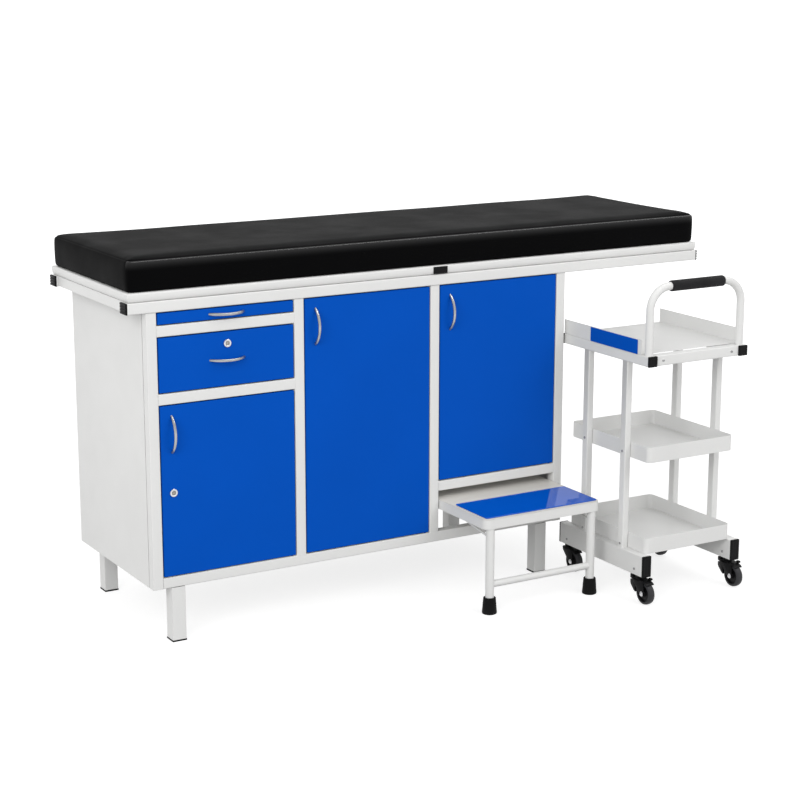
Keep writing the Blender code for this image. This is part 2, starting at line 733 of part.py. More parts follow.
def add_lock(name, at, group):
    """A cam lock: a round head with a key slot, its barrel and the cam behind the panel."""
    profile = [
        (0.0, LOCK_HEAD_HEIGHT),
        (LOCK_HEAD_RADIUS - SEAT, LOCK_HEAD_HEIGHT),
        (LOCK_HEAD_RADIUS, LOCK_HEAD_HEIGHT - SEAT),
        (LOCK_HEAD_RADIUS, SEAT),
        (LOCK_BARREL_RADIUS, SEAT),
        (LOCK_BARREL_RADIUS, -LOCK_BARREL_LENGTH),
        (0.0, -LOCK_BARREL_LENGTH),
    ]
    mesh = turned_mesh(profile)
    mesh.transform(Matrix.Rotation(math.radians(90), 4, "X"))
    lock = add_piece(name, mesh, at, group, CHROME)
    at = Vector(at)
    slot = Vector((KEY_SLOT_WIDTH / 2, 0.0, KEY_SLOT_LENGTH / 2))
    face = at + Vector((0.0, -LOCK_HEAD_HEIGHT, 0.0))
    deep = Vector((0.0, KEY_SLOT_DEPTH, 0.0))
    combine(lock, "DIFFERENCE", [block_cutter(face - slot - deep, face + slot + deep, group)])
    end = at + Vector((0.0, LOCK_BARREL_LENGTH, 0.0))
    low = end - Vector((0.0, LOCK_CAM_THICKNESS, LOCK_CAM_WIDTH / 2))
    high = end + Vector((LOCK_CAM_LENGTH, -WELD, LOCK_CAM_WIDTH / 2))
    combine(lock, "UNION", [block_cutter(low, high, group)])


def add_front(name, low, high, group):
    """A blue folded front, open at the back, set flush in its opening."""
    return add_pan(name, low, high, (0, 1, 0), group, BLUE_PAINT, rounding=PANEL_ROUNDING)


def lock_hole(front, at, group):
    combine(front, "DIFFERENCE", [rod_cutter(at, LOCK_BARREL_RADIUS + SEAT, PANEL_DEPTH, "Y", group)])


def build_drawer(name, base, top, tray_height, lock):
    """A drawer front with its handle, the tray behind it and, where it has one, its lock."""
    group = new_group(name, ((bay_left(0) + bay_right(0)) / 2, CABINET_FRONT, base), ROOT)
    low = (bay_left(0) + PANEL_GAP, CABINET_FRONT, base + PANEL_GAP)
    high = (bay_right(0) - PANEL_GAP, PANEL_BACK, top - PANEL_GAP)
    front = add_front(name + "_front", low, high, group)
    middle = (bay_left(0) + bay_right(0)) / 2
    if lock:
        at = (middle, CABINET_FRONT, top - PANEL_GAP - LOCK_DROP)
        lock_hole(front, at, group)
        add_lock(name + "_lock", at, new_group(name + "_lock_axis", at, group))
    low = (tray_left(), PANEL_BACK + SEAT, base + DRAWER_LIFT)
    high = (tray_right(), PANEL_BACK + SEAT + DRAWER_DEPTH, base + DRAWER_LIFT + tray_height)
    add_pan(name + "_tray", low, high, (0, 0, 1), group, WHITE_PAINT)
    add_handle(name + "_handle", (middle, CABINET_FRONT, (base + top) / 2), False, group)


# Doors


def build_door(name, bay, base, top, lock):
    """A door on two pivot pins at its right edge, with a bow handle at its left edge."""
    x, y = hinge_axis(bay)
    group = new_group(name, (x, y, base), ROOT)
    low = (bay_left(bay) + PANEL_GAP, CABINET_FRONT, base + PANEL_GAP)
    high = (bay_right(bay) - PANEL_GAP, PANEL_BACK, top - PANEL_GAP)
    panel = add_front(name + "_panel", low, high, group)
    length = PANEL_GAP + HINGE_PIN_REACH + SHEET
    pins = []
    for end, way in ((low[2], -1), (high[2], 1)):
        middle = end + way * (length / 2 - SHEET / 2)
        pins.append(rod_cutter((x, y, middle), HINGE_PIN_RADIUS, length, "Z", group))
    combine(panel, "UNION", pins)
    left = low[0] + HANDLE_SIDE
    if lock:
        at = (left, CABINET_FRONT, high[2] - DOOR_LOCK_DROP)
        lock_hole(panel, at, group)
        add_lock(name + "_lock", at, new_group(name + "_lock_axis", at, group))
    handle = (left, CABINET_FRONT, high[2] - HANDLE_DROP - HANDLE_SPAN / 2)
    add_handle(name + "_handle", handle, True, group)


# Pull-out step


def step_left():
    return bay_left(2) + STEP_SIDE_GAP


def step_right():
    return bay_right(2) - STEP_SIDE_GAP


def step_outline(inset):
    """The step's outline from above: square at the back, with rounded corners at the front."""
    left, right = step_left() + inset, step_right() - inset
    front, back = STEP_FRONT + inset, STEP_FRONT + STEP_DEPTH - inset
    radius = max(STEP_CORNER - inset, SHEET)
    corner_left = arc_points((left + radius, front + radius), radius, 180, 270, 4)
    corner_right = arc_points((right - radius, front + radius), radius, 270, 360, 4)
    return [(left, back), *corner_left, *corner_right, (right, back)]


def step_plate_mesh(insets, thickness):
    return outline_mesh([step_outline(inset) for inset in insets], thickness)


def build_step_frame(group):
    """The step's tube frame, open underneath, with its tread plate and mat on top."""
    middle = (STEP_FRAME_BASE + STEP_FRAME_TOP) / 2
    ring = step_plate_mesh((0.0, STEP_TUBE), STEP_TUBE)
    frame = add_piece("step_frame", ring, (0, 0, middle), group, WHITE_PAINT)
    hollow = step_plate_mesh((TUBE_WALL, STEP_TUBE - TUBE_WALL), STEP_TUBE)
    combine(frame, "DIFFERENCE", [add_cutter(hollow, (0, 0, middle - TUBE_WALL), group)])
    at = (0, 0, STEP_TOP - STEP_PLATE / 2)
    add_piece("step_tread", step_plate_mesh((0.0,), STEP_PLATE), at, group, TREAD_STEEL)
    left, right = step_left() + STEP_MAT_MARGIN, step_right() - STEP_MAT_MARGIN
    front = STEP_FRONT + STEP_MAT_MARGIN
    low = (left, front, STEP_TOP + SEAT)
    high = (right, front + STEP_MAT_DEPTH, STEP_TOP + SEAT + STEP_MAT)
    add_block("step_mat", low, high, group, BLUE_MAT)


def build_step_legs(group):
    """Two round legs with a cross bar and a stay on each, welded into one, and their rubber ferrules."""
    top = STEP_FRAME_BASE - SEAT
    foot = FERRULE_FLOOR + SEAT
    y = STEP_FRONT + STEP_LEG_SETBACK
    xs = (step_left() + STEP_LEG_INSET, step_right() - STEP_LEG_INSET)
    leg = rod_mesh(STEP_LEG_RADIUS, top - foot)
    legs = add_piece("step_legs", leg, (xs[0], y, (top + foot) / 2), group, WHITE_PAINT)
    others = [add_cutter(rod_mesh(STEP_LEG_RADIUS, top - foot), (xs[1], y, (top + foot) / 2), group)]
    bar = ((xs[0] + xs[1]) / 2, y, STEP_BAR_HEIGHT)
    others.append(rod_cutter(bar, STEP_BAR_RADIUS, xs[1] - xs[0], "X", group))
    high = top - STEP_STAY_RADIUS - SEAT
    for x in xs:
        ends = [(x, y, high - STEP_STAY_DROP), (x, y + STEP_STAY_RUN, high)]
        others.append(add_cutter(tube_mesh(ends, STEP_STAY_RADIUS, resolution=2), (0, 0, 0), group))
    combine(legs, "UNION", others)
    socket = STEP_LEG_RADIUS + SEAT
    profile = [
        (0.0, FERRULE_FLOOR),
        (socket, FERRULE_FLOOR),
        (socket, FERRULE_HEIGHT),
        (FERRULE_TOP_RADIUS, FERRULE_HEIGHT),
        (FERRULE_FOOT_RADIUS, FERRULE_CHAMFER),
        (FERRULE_FOOT_RADIUS - FERRULE_CHAMFER, 0.0),
        (0.0, 0.0),
    ]
    for side, x in zip(("left", "right"), xs):
        add_piece("step_ferrule_" + side, turned_mesh(profile), (x, y, 0.0), group, BLACK_RUBBER)


def build_step_guides():
    """Two angle guides inside the step's bay, tied at the back, which carry the step's side rails."""
    front = FRAME_BACK + SEAT
    back = front + GUIDE_LENGTH
    level = STEP_FRAME_BASE - SEAT
    left, right = stile_centre(1) + SHEET / 2 + SEAT, SIDE_RIGHT_INNER
    low = (left, back - TUBE_WALL, level - GUIDE_FLANGE)
    guides = add_block("step_guides", low, (right, back, level), ROOT, CHROME)
    cutters = []
    for low_x, high_x in ((left, step_left() + GUIDE_LEDGE), (step_right() - GUIDE_LEDGE, right)):
        low = (low_x, front, level - TUBE_WALL)
        cutters.append(block_cutter(low, (high_x, back - WELD, level), ROOT))
    for low_x, high_x in ((left, left + TUBE_WALL), (right - TUBE_WALL, right)):
        low = (low_x, front, level - GUIDE_FLANGE)
        cutters.append(block_cutter(low, (high_x, back - WELD, level - WELD), ROOT))
    combine(guides, "UNION", cutters)


# Instrument trolley


def stem_places():
    """X and Y of the four castor stems, by corner."""
    lefts = {"left": TROLLEY_LEFT + TROLLEY_RAIL / 2, "right": TROLLEY_RIGHT - TROLLEY_RAIL / 2}
    fronts = {"front": TROLLEY_FRONT + CASTOR_SETBACK, "back": TROLLEY_BACK - CASTOR_SETBACK}
    return {row + "_" + side: (x, y) for row, y in fronts.items() for side, x in lefts.items()}


def build_trolley_sides(group):
    """Each side: a top rail, a tall foot rail, two posts between them and holes for the castor stems."""
    middle = (TROLLEY_FRONT + TROLLEY_BACK) / 2
    sides = {
        "left": (TROLLEY_LEFT, TROLLEY_LEFT + TUBE_CORNER),
        "right": (TROLLEY_RIGHT - TROLLEY_RAIL, TROLLEY_RIGHT - TUBE_CORNER - POST_WIDTH),
    }
    for side, (rail, post) in sides.items():
        front, back = TROLLEY_FRONT, TROLLEY_BACK
        bars = [
            ((rail, front, CASTOR_HEIGHT), (rail + TROLLEY_RAIL, back, FOOT_RAIL_TOP), "Y"),
            ((rail, front, TOP_RAIL_TOP - TROLLEY_RAIL), (rail + TROLLEY_RAIL, back, TOP_RAIL_TOP), "Y"),
        ]
        for way in (-1, 1):
            y = middle + way * POST_SPACING / 2
            low = (post, y - POST_DEPTH / 2, FOOT_RAIL_TOP - WELD)
            high = (post + POST_WIDTH, y + POST_DEPTH / 2, TOP_RAIL_TOP - TROLLEY_RAIL + WELD)
            bars.append((low, high, "Z"))
        frame = add_tube_frame("trolley_side_" + side, bars, group, WHITE_PAINT)
        holes = []
        for corner, (x, y) in stem_places().items():
            if corner.endswith(side):
                at = (x, y, CASTOR_HEIGHT)
                holes.append(rod_cutter(at, STEM_RADIUS + SEAT, TROLLEY_RAIL, "Z", group))
        combine(frame, "DIFFERENCE", holes)


def build_trolley_trays(group):
    """The front rail, the top tray with its two upstands and trim, and the two lower trays."""
    base = TOP_RAIL_TOP - TROLLEY_RAIL
    low = (TROLLEY_LEFT + TROLLEY_RAIL + SEAT, TROLLEY_FRONT, base)
    high = (TROLLEY_RIGHT - TROLLEY_RAIL - SEAT, TROLLEY_FRONT + TROLLEY_RAIL, TOP_RAIL_TOP)
    add_tube_frame("trolley_front_rail", [(low, high, "X")], group, WHITE_PAINT)
    low = (TROLLEY_LEFT, TROLLEY_FRONT + TOP_TRAY_SETBACK, TROLLEY_TOP)
    high = (TROLLEY_RIGHT, TROLLEY_BACK, TROLLEY_TOP + TOP_UPSTAND)
    tray = add_block("trolley_top_tray", low, high, group, WHITE_PAINT)
    low = (low[0] + SHEET, low[1] - SHEET, low[2] + SHEET)
    high = (high[0] - SHEET, high[1] + SHEET, high[2] + SHEET)
    combine(tray, "DIFFERENCE", [block_cutter(low, high, group)])
    front = TROLLEY_FRONT + TRIM_FRONT_SETBACK
    low = (TROLLEY_LEFT - SEAT - TRIM_THICKNESS, front, TROLLEY_TOP)
    high = (TROLLEY_LEFT - SEAT, front + TRIM_LENGTH, TROLLEY_TOP + TOP_UPSTAND - TRIM_MARGIN)
    add_block("trolley_trim", low, high, group, BLUE_PAINT)
    left, right = TROLLEY_LEFT + POST_INSET + SEAT, TROLLEY_RIGHT - POST_INSET - SEAT
    for level, base in (("middle", MIDDLE_TRAY_BASE), ("bottom", FOOT_RAIL_TOP + SEAT)):
        low = (left, TROLLEY_FRONT + TRAY_SETBACK, base)
        high = (right, TROLLEY_BACK - TRAY_SETBACK, base + TRAY_WALL)
        name = "trolley_" + level + "_tray"
        add_pan(name, low, high, (0, 0, 1), group, WHITE_PAINT, corner=TRAY_CORNER)


def build_trolley_handle(group):
    """The bent push handle that stands on the two top rails, and its foam grip."""
    left, right = TROLLEY_LEFT + TROLLEY_RAIL / 2, TROLLEY_RIGHT - TROLLEY_RAIL / 2
    y = TROLLEY_FRONT + GRAB_SETBACK
    foot = TOP_RAIL_TOP + SEAT
    top = TROLLEY_TOP + GRAB_HEIGHT
    bend_left = arc_points((left + GRAB_BEND, top - GRAB_BEND), GRAB_BEND, 180, 90, 6)
    bend_right = arc_points((right - GRAB_BEND, top - GRAB_BEND), GRAB_BEND, 90, 0, 6)
    route = [(left, foot), *bend_left, *bend_right, (right, foot)]
    mesh = tube_mesh([(x, y, z) for x, z in route], GRAB_RADIUS)
    add_piece("trolley_handle", mesh, (0, 0, 0), group, WHITE_PAINT)
    bore = (GRAB_RADIUS + SEAT) / math.cos(math.pi / ROUND_SIDES)
    half = GRIP_LENGTH / 2
    profile = [
        (bore, half),
        (GRIP_RADIUS - FERRULE_CHAMFER, half),
        (GRIP_RADIUS, half - FERRULE_CHAMFER),
        (GRIP_RADIUS, FERRULE_CHAMFER - half),
        (GRIP_RADIUS - FERRULE_CHAMFER, -half),
        (bore, -half),
    ]
    mesh = turned_mesh(profile, axis="X", closed=True)
    add_piece("trolley_grip", mesh, ((left + right) / 2, y, top), group, BLACK_FOAM)


# Castors


def fork_half_width():
    return WHEEL_WIDTH / 2 + FORK_SIDE_GAP + FORK_PLATE


def build_fork(name, x, y, group):
    """A castor fork: two cheeks, a crown, the axle through the cheeks, and the collar and stem above."""
    half = fork_half_width()
    tail = CASTOR_TRAIL + FORK_TAIL
    low = (x - half, y - tail, FORK_CROWN_TOP - FORK_PLATE)
    fork = add_block(name, low, (x + half, y + FORK_NOSE, FORK_CROWN_TOP), group, BLACK_PLASTIC)
    eye = arc_points((-CASTOR_TRAIL, WHEEL_RADIUS), FORK_EYE_RADIUS, 360, 180, 6)
    cheek = [(-tail, FORK_CROWN_TOP - WELD), (FORK_NOSE, FORK_CROWN_TOP - WELD), *eye]
    cutters = []
    for offset in (half - FORK_PLATE / 2, FORK_PLATE / 2 - half):
        mesh = outline_mesh([cheek], FORK_PLATE)
        mesh.transform(Matrix(((0, 0, 1, 0), (1, 0, 0, 0), (0, 1, 0, 0), (0, 0, 0, 1))))
        cutters.append(add_cutter(mesh, (x + offset, y, 0.0), group))
    axle = (x, y - CASTOR_TRAIL, WHEEL_RADIUS)
    cutters.append(rod_cutter(axle, AXLE_RADIUS, 2 * half - WELD, "X", group))
    collar = CASTOR_HEIGHT - SEAT - FORK_CROWN_TOP + WELD
    place = (x, y, CASTOR_HEIGHT - SEAT - collar / 2)
    cutters.append(rod_cutter(place, COLLAR_RADIUS, collar, "Z", group))
    place = (x, y, CASTOR_HEIGHT - WELD + STEM_LENGTH / 2)
    cutters.append(rod_cutter(place, STEM_RADIUS, STEM_LENGTH, "Z", group))
    combine(fork, "UNION", cutters)


def wheel_mesh():
    half = WHEEL_WIDTH / 2
    bore = AXLE_RADIUS + SEAT
    tread = WHEEL_RADIUS
    shoulder = half / 2
    profile = [
        (bore, half),
        (FORK_EYE_RADIUS, half),
        (tread - half, shoulder),
        (tread - shoulder, half),
        (tread, shoulder),
        (tread, -shoulder),
        (tread - shoulder, -half),
        (tread - half, -shoulder),
        (FORK_EYE_RADIUS, -half),
        (bore, -half),
    ]
    return turned_mesh(profile, axis="X", sides=20, closed=True)


def build_pedal(name, group):
    """A brake pedal hinged behind the fork's crown."""
    half = fork_half_width()
    barrel = rod_mesh(PEDAL_BARREL_RADIUS, 2 * half, "X")
    pedal = add_piece(name, barrel, ANCHORS[group.name], group, BLACK_PLASTIC)
    size = Vector((2 * half, PEDAL_LENGTH, PEDAL_THICKNESS))
    plate = block_mesh(size)
    plate.transform(Matrix.Translation((0.0, PEDAL_LENGTH / 2, 0.0)))
    plate.transform(Matrix.Rotation(-PEDAL_FALL, 4, "X"))
    combine(pedal, "UNION", [add_cutter(plate, ANCHORS[group.name], group)])


def build_castors(trolley):
    """Four swivel castors under the foot rails' ends, wheels forward. The front pair has brake pedals."""
    for corner, (x, y) in stem_places().items():
        swivel = new_group("castor_" + corner, (x, y, CASTOR_HEIGHT), trolley)
        build_fork("castor_fork_" + corner, x, y, swivel)
        hub = (x, y - CASTOR_TRAIL, WHEEL_RADIUS)
        axle = new_group("castor_axle_" + corner, hub, swivel)
        add_piece("castor_wheel_" + corner, wheel_mesh(), hub, axle, TYRE_GREY)
        if corner.startswith("front"):
            behind = y + FORK_NOSE + SEAT + PEDAL_BARREL_RADIUS
            pivot = (x, behind, FORK_CROWN_TOP - FORK_PLATE / 2)
            hinge = new_group("castor_brake_axis_" + corner, pivot, swivel)
            build_pedal("castor_brake_" + corner, hinge)


def main():
    build_mattress()
    build_top_sheet()
    build_top_frame()
    build_name_plate()
    build_face_frame()
    build_back_frame()
    build_carcass()
    build_legs()
    build_drawer_runners()
    build_drawer("slim_drawer", SLIM_DRAWER_BASE, CABINET_TOP, SLIM_TRAY_HEIGHT, lock=False)
    build_drawer("deep_drawer", DEEP_DRAWER_BASE, DEEP_DRAWER_TOP, DEEP_TRAY_HEIGHT, lock=True)
    build_door("left_door", 0, FLOOR_RAIL_TOP, LOWER_DOOR_TOP, lock=True)
    build_door("middle_door", 1, FLOOR_RAIL_TOP, CABINET_TOP, lock=False)
    build_door("right_door", 2, RIGHT_DOOR_BASE, CABINET_TOP, lock=False)
    build_step_guides()
    step = new_group("step", ((step_left() + step_right()) / 2, CABINET_FRONT, STEP_FRAME_BASE), ROOT)
    build_step_frame(step)
    build_step_legs(step)
    trolley = new_group("trolley", ((TROLLEY_LEFT + TROLLEY_RIGHT) / 2, TROLLEY_FRONT, 0.0), ROOT)
    build_trolley_sides(trolley)
    build_trolley_trays(trolley)
    build_trolley_handle(trolley)
    build_castors(trolley)


main()
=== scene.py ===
"""Looks of a cabinet examination couch with its mattress, pull-out step and instrument trolley.

The file is laid out as an add-on and run as a script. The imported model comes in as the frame, each
operator dresses one group of its pieces, and main() calls the operators in order. Metres, +Z up, with
the frame's own origin: on the floor, at the middle of the set's footprint.
"""

import json
import math

import bmesh
import bpy
from mathutils import Matrix, Vector, noise

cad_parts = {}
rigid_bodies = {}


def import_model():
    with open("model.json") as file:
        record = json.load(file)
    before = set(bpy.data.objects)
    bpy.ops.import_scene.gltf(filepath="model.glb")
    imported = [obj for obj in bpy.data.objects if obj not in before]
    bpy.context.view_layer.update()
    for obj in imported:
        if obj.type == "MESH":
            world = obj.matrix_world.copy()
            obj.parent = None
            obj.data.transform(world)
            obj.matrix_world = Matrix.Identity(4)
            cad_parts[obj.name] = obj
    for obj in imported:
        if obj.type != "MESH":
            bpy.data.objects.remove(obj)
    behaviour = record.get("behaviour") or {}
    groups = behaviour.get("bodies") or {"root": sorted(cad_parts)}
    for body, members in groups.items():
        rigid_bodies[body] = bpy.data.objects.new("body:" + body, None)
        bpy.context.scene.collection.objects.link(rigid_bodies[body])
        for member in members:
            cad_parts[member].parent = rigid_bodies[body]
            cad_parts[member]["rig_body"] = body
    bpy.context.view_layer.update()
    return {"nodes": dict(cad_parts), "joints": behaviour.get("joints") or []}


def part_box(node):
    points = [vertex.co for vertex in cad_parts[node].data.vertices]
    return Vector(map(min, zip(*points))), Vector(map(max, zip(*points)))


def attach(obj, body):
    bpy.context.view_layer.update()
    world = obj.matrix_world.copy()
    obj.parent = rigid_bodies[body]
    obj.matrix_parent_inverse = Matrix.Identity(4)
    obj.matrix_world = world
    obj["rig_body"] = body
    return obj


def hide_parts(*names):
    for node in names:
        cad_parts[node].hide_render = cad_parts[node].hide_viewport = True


bl_info = {
    "name": "Examination couch",
    "version": (1, 0, 0),
    "blender": (4, 5, 0),
    "location": "View3D > Sidebar > Couch",
    "description": "Mattress, finishes, fittings, step, trolley and studio of a cabinet examination couch",
    "category": "Object",
}

MERGE = 0.00001
FLAT_ANGLE = math.radians(1.0)
EDGE_ANGLE = math.radians(40.0)
SHARP_ANGLE = math.radians(50.0)
X_AXIS = Vector((1.0, 0.0, 0.0))
Y_AXIS = Vector((0.0, 1.0, 0.0))
Z_AXIS = Vector((0.0, 0.0, 1.0))
FULL_TURN = 2 * math.pi

# Sizes that the couch shares with its frame
RAIL_DEPTH = 0.040
TROLLEY_RAIL = 0.030
TROLLEY_FOOT_RAIL = 0.062
HANDLE_SPAN = 0.096
HANDLE_RISE = 0.024
STAY_RUN = 0.170
STAY_DROP = 0.026
STAY_RADIUS = 0.003
STEP_BAR_HEIGHT = 0.085
STEP_BAR_RADIUS = 0.010
GRAB_BEND = 0.065
GRAB_RADIUS = 0.0115
FORK_HALF_WIDTH = 0.015
CROWN_BACK = 0.013
CROWN_FRONT = 0.006
FORK_TOP = 0.072
FORK_CHEEK = 0.0025
FORK_EYE = 0.009
CORNERS = ("front_left", "front_right", "back_left", "back_right")

# Camera at the viewing angle of the picture: its place, and its right, up and back directions
CAMERA_PLACE = (-2.751, -4.55275, 1.794)
CAMERA_RIGHT = (0.8624, -0.5062, 0.0007)
CAMERA_UP = (0.1136, 0.1948, 0.9742)
CAMERA_BACK = (-0.4933, -0.8401, 0.2255)
CAMERA_LENS = 85.6
CAMERA_SENSOR = 36.0


def clear_startup():
    for thing in list(bpy.data.objects):
        bpy.data.objects.remove(thing)


clear_startup()
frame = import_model()


def length(label, about, default):
    """A property for a length in metres."""
    return bpy.props.FloatProperty(
        name=label,
        description=about,
        default=default,
        min=0.0,
        precision=4,
        subtype="DISTANCE",
        unit="LENGTH",
    )


def colour(label, about, default):
    """A property for a finish's colour."""
    return bpy.props.FloatVectorProperty(
        name=label, description=about, default=default, min=0.0, max=1.0, size=3, subtype="COLOR"
    )


def share(label, about, default):
    """A property for a plain number from 0 to 1."""
    return bpy.props.FloatProperty(
        name=label, description=about, default=default, min=0.0, max=1.0, subtype="FACTOR"
    )


def power(label, about, default):
    """A property for a lamp's power in watts."""
    return bpy.props.FloatProperty(name=label, description=about, default=default, min=0.0, unit="POWER")


class CouchSizes(bpy.types.PropertyGroup):
    """Sizes of the pieces that dress the couch"""

    mattress_corner: length("Mattress corner", "Rounding of its corners, seen from above", 0.014)
    seam_pull: length("Seam pull", "How far the seam pulls the cover in", 0.0015)
    sheet_rounding: length("Sheet rounding", "Rounding of the folded and cut edges of painted sheet", 0.0005)
    handle_radius: length("Bow handle radius", "Half the thickness of the bow handles' bar", 0.004)
    plug_proud: length("Plug stand-off", "How far a plug stands out of its rail", 0.0055)
    foot_height: length("Foot height", "Height of the black feet on the cabinet's legs", 0.005)
    screw_radius: length("Screw radius", "Radius of the screw heads on the trolley", 0.0038)


class CouchColours(bpy.types.PropertyGroup):
    """Colours of the finishes"""

    white_paint: colour("White paint", "Powder coat of the frame, panels and trolley", (0.80, 0.80, 0.79))
    blue_paint: colour("Blue paint", "Powder coat of the doors and drawer fronts", (0.0005, 0.086, 0.52))
    vinyl: colour("Vinyl", "Cover of the mattress", (0.0012, 0.0012, 0.0014))
    chrome: colour("Satin chrome", "Rims of the locks", (0.66, 0.66, 0.67))
    nickel: colour("Satin nickel", "Bow handles and screws", (0.42, 0.42, 0.42))
    lock_core: colour("Lock core", "Cylinder in the middle of a lock", (0.30, 0.28, 0.25))
    zinc: colour("Zinc", "Drawer runners and step guides", (0.52, 0.53, 0.55))
    tread: colour("Tread", "Warm grey plate of the step", (0.80, 0.78, 0.74))
    mat: colour("Step mat", "Glossy mat on the step", (0.0005, 0.098, 0.58))
    rubber: colour("Rubber", "Ferrules and feet", (0.006, 0.006, 0.006))
    plastic: colour("Black plastic", "Plugs, castors and the plate on the rim", (0.004, 0.004, 0.0045))
    foam: colour("Foam grip", "Grip of the trolley's push handle", (0.008, 0.008, 0.009))
    tyre: colour("Castor tyre", "Tread of the castor wheels", (0.030, 0.030, 0.033))
    plywood: colour("Plywood", "Board in the mattress", (0.50, 0.36, 0.21))


class CouchStudio(bpy.types.PropertyGroup):
    """Light and floor"""

    floor_glow: share("Floor glow", "Share of the near floor's brightness that is its own", 0.74)
    dome: share("Dome light", "Strength of the even light from all round", 0.79)
    key_power: power("Key lamp", "Power of the lamp at the front left", 125.0)
    fill_power: power("Fill lamp", "Power of the lamp at the front right", 76.0)
    strip_power: power("Strip lamp", "Power of the long lamp overhead, which edges the couch", 65.0)


# Node groups and materials


COLOUR = "NodeSocketColor"
NUMBER = "NodeSocketFloat"


def feed(tree, socket, value):
    """Gives an input a value, or links it to an output."""
    if isinstance(value, bpy.types.NodeSocket):
        tree.links.new(value, socket)
    else:
        socket.default_value = value


def add_node(tree, kind, inputs=(), **settings):
    """A node with its settings, and with its inputs fed by name or by number."""
    made = tree.nodes.new(kind)
    for name, value in settings.items():
        setattr(made, name, value)
    for key, value in dict(inputs).items():
        feed(tree, made.inputs[key], value)
    return made


def object_coords(tree):
    """The shaded point in the object's own axes."""
    return add_node(tree, "ShaderNodeTexCoord").outputs["Object"]


def object_place(tree):
    """The shaded point's X, Y and Z in the object's own axes."""
    return add_node(tree, "ShaderNodeSeparateXYZ", {"Vector": object_coords(tree)}).outputs


def add_noise(tree, coords, scale, detail=2.0):
    inputs = {"Vector": coords, "Scale": scale, "Detail": detail}
    return add_node(tree, "ShaderNodeTexNoise", inputs).outputs["Fac"]


def remap(tree, value, low, high, to_low=0.0, to_high=1.0):
    inputs = {"Value": value, "From Min": low, "From Max": high, "To Min": to_low, "To Max": to_high}
    return add_node(tree, "ShaderNodeMapRange", inputs).outputs["Result"]


def math_node(tree, operation, *values):
    return add_node(tree, "ShaderNodeMath", enumerate(values), operation=operation).outputs["Value"]


def colours_of(sockets):
    return [socket for socket in sockets if socket.type == "RGBA"]


def mix_colours(tree, factor, *colours):
    made = add_node(tree, "ShaderNodeMix", {"Factor": factor}, data_type="RGBA")
    for socket, value in zip(colours_of(made.inputs), colours):
        feed(tree, socket, value)
    return colours_of(made.outputs)[0]


def seen_by(tree, *rays):
    """1 to the kinds of ray that are named, and 0 to all others."""
    light = add_node(tree, "ShaderNodeLightPath").outputs
    seen = light[rays[0]]
    for ray in rays[1:]:
        seen = math_node(tree, "MAXIMUM", seen, light[ray])
    return seen


def new_group(name, inputs, outputs):
    """An empty shader node group with named sockets, the values that go into it and the ends to feed."""
    group = bpy.data.node_groups.new(name, "ShaderNodeTree")
    for label, kind, value in inputs:
        socket = group.interface.new_socket(name=label, in_out="INPUT", socket_type=kind)
        socket.default_value = value
    for label, kind in outputs:
        group.interface.new_socket(name=label, in_out="OUTPUT", socket_type=kind)
    return group, group.nodes.new("NodeGroupInput").outputs, group.nodes.new("NodeGroupOutput").inputs


def coat_pattern(tree, coords, scale):
    """Powder coat: a fine orange-peel skin, faint clouds in the colour and handled, uneven gloss."""
    peel = add_noise(tree, coords, scale, 1.0)
    height = math_node(tree, "MULTIPLY_ADD", add_noise(tree, coords, 26.0), 0.6, peel)
    clouds = remap(tree, add_noise(tree, coords, 3.2, 3.0), 0.40, 0.72)
    return clouds, add_noise(tree, coords, 18.0, 4.0), height


def grain_pattern(tree, coords, scale):
    """Leather-like or moulded grain: small cells with creases between them, over soft broad folds."""
    inputs = {"Vector": coords, "Scale": scale}
    cells = add_node(tree, "ShaderNodeTexVoronoi", inputs, feature="DISTANCE_TO_EDGE")
    creases = remap(tree, cells.outputs["Distance"], 0.0, 0.18)
    height = math_node(tree, "MULTIPLY_ADD", add_noise(tree, coords, 38.0, 3.0), 1.2, creases)
    clouds = remap(tree, add_noise(tree, coords, 5.5, 3.0), 0.38, 0.70)
    return clouds, add_noise(tree, coords, 9.0, 4.0), height


def satin_pattern(tree, coords, scale):
    """Satin metal: fine brushing lines and a slightly uneven sheen."""
    lines = add_noise(tree, coords, scale)
    clouds = remap(tree, add_noise(tree, coords, 60.0, 3.0), 0.40, 0.75)
    gloss = math_node(tree, "MULTIPLY_ADD", add_noise(tree, coords, 120.0), 0.15, lines)
    return clouds, gloss, lines


def ply_pattern(tree, coords, scale):
    """Plywood: bands of grain that run along X."""
    inputs = {"Vector": coords, "Scale": scale, "Distortion": 6.0, "Detail": 3.0}
    grain = add_node(tree, "ShaderNodeTexWave", inputs, bands_direction="Y").outputs["Fac"]
    return grain, add_noise(tree, coords, 80.0), grain


# Each skin's usual relief scale, and the pattern that makes its clouds, gloss and relief
SKINS = {
    "coat_skin": (420.0, coat_pattern),
    "grain_skin": (620.0, grain_pattern),
    "satin_skin": (900.0, satin_pattern),
    "ply_skin": (60.0, ply_pattern),
}
GLOSS_SPREAD = (0.35, 0.65)
SKIN_OUTPUTS = (("Colour", COLOUR), ("Roughness", NUMBER), ("Height", NUMBER))


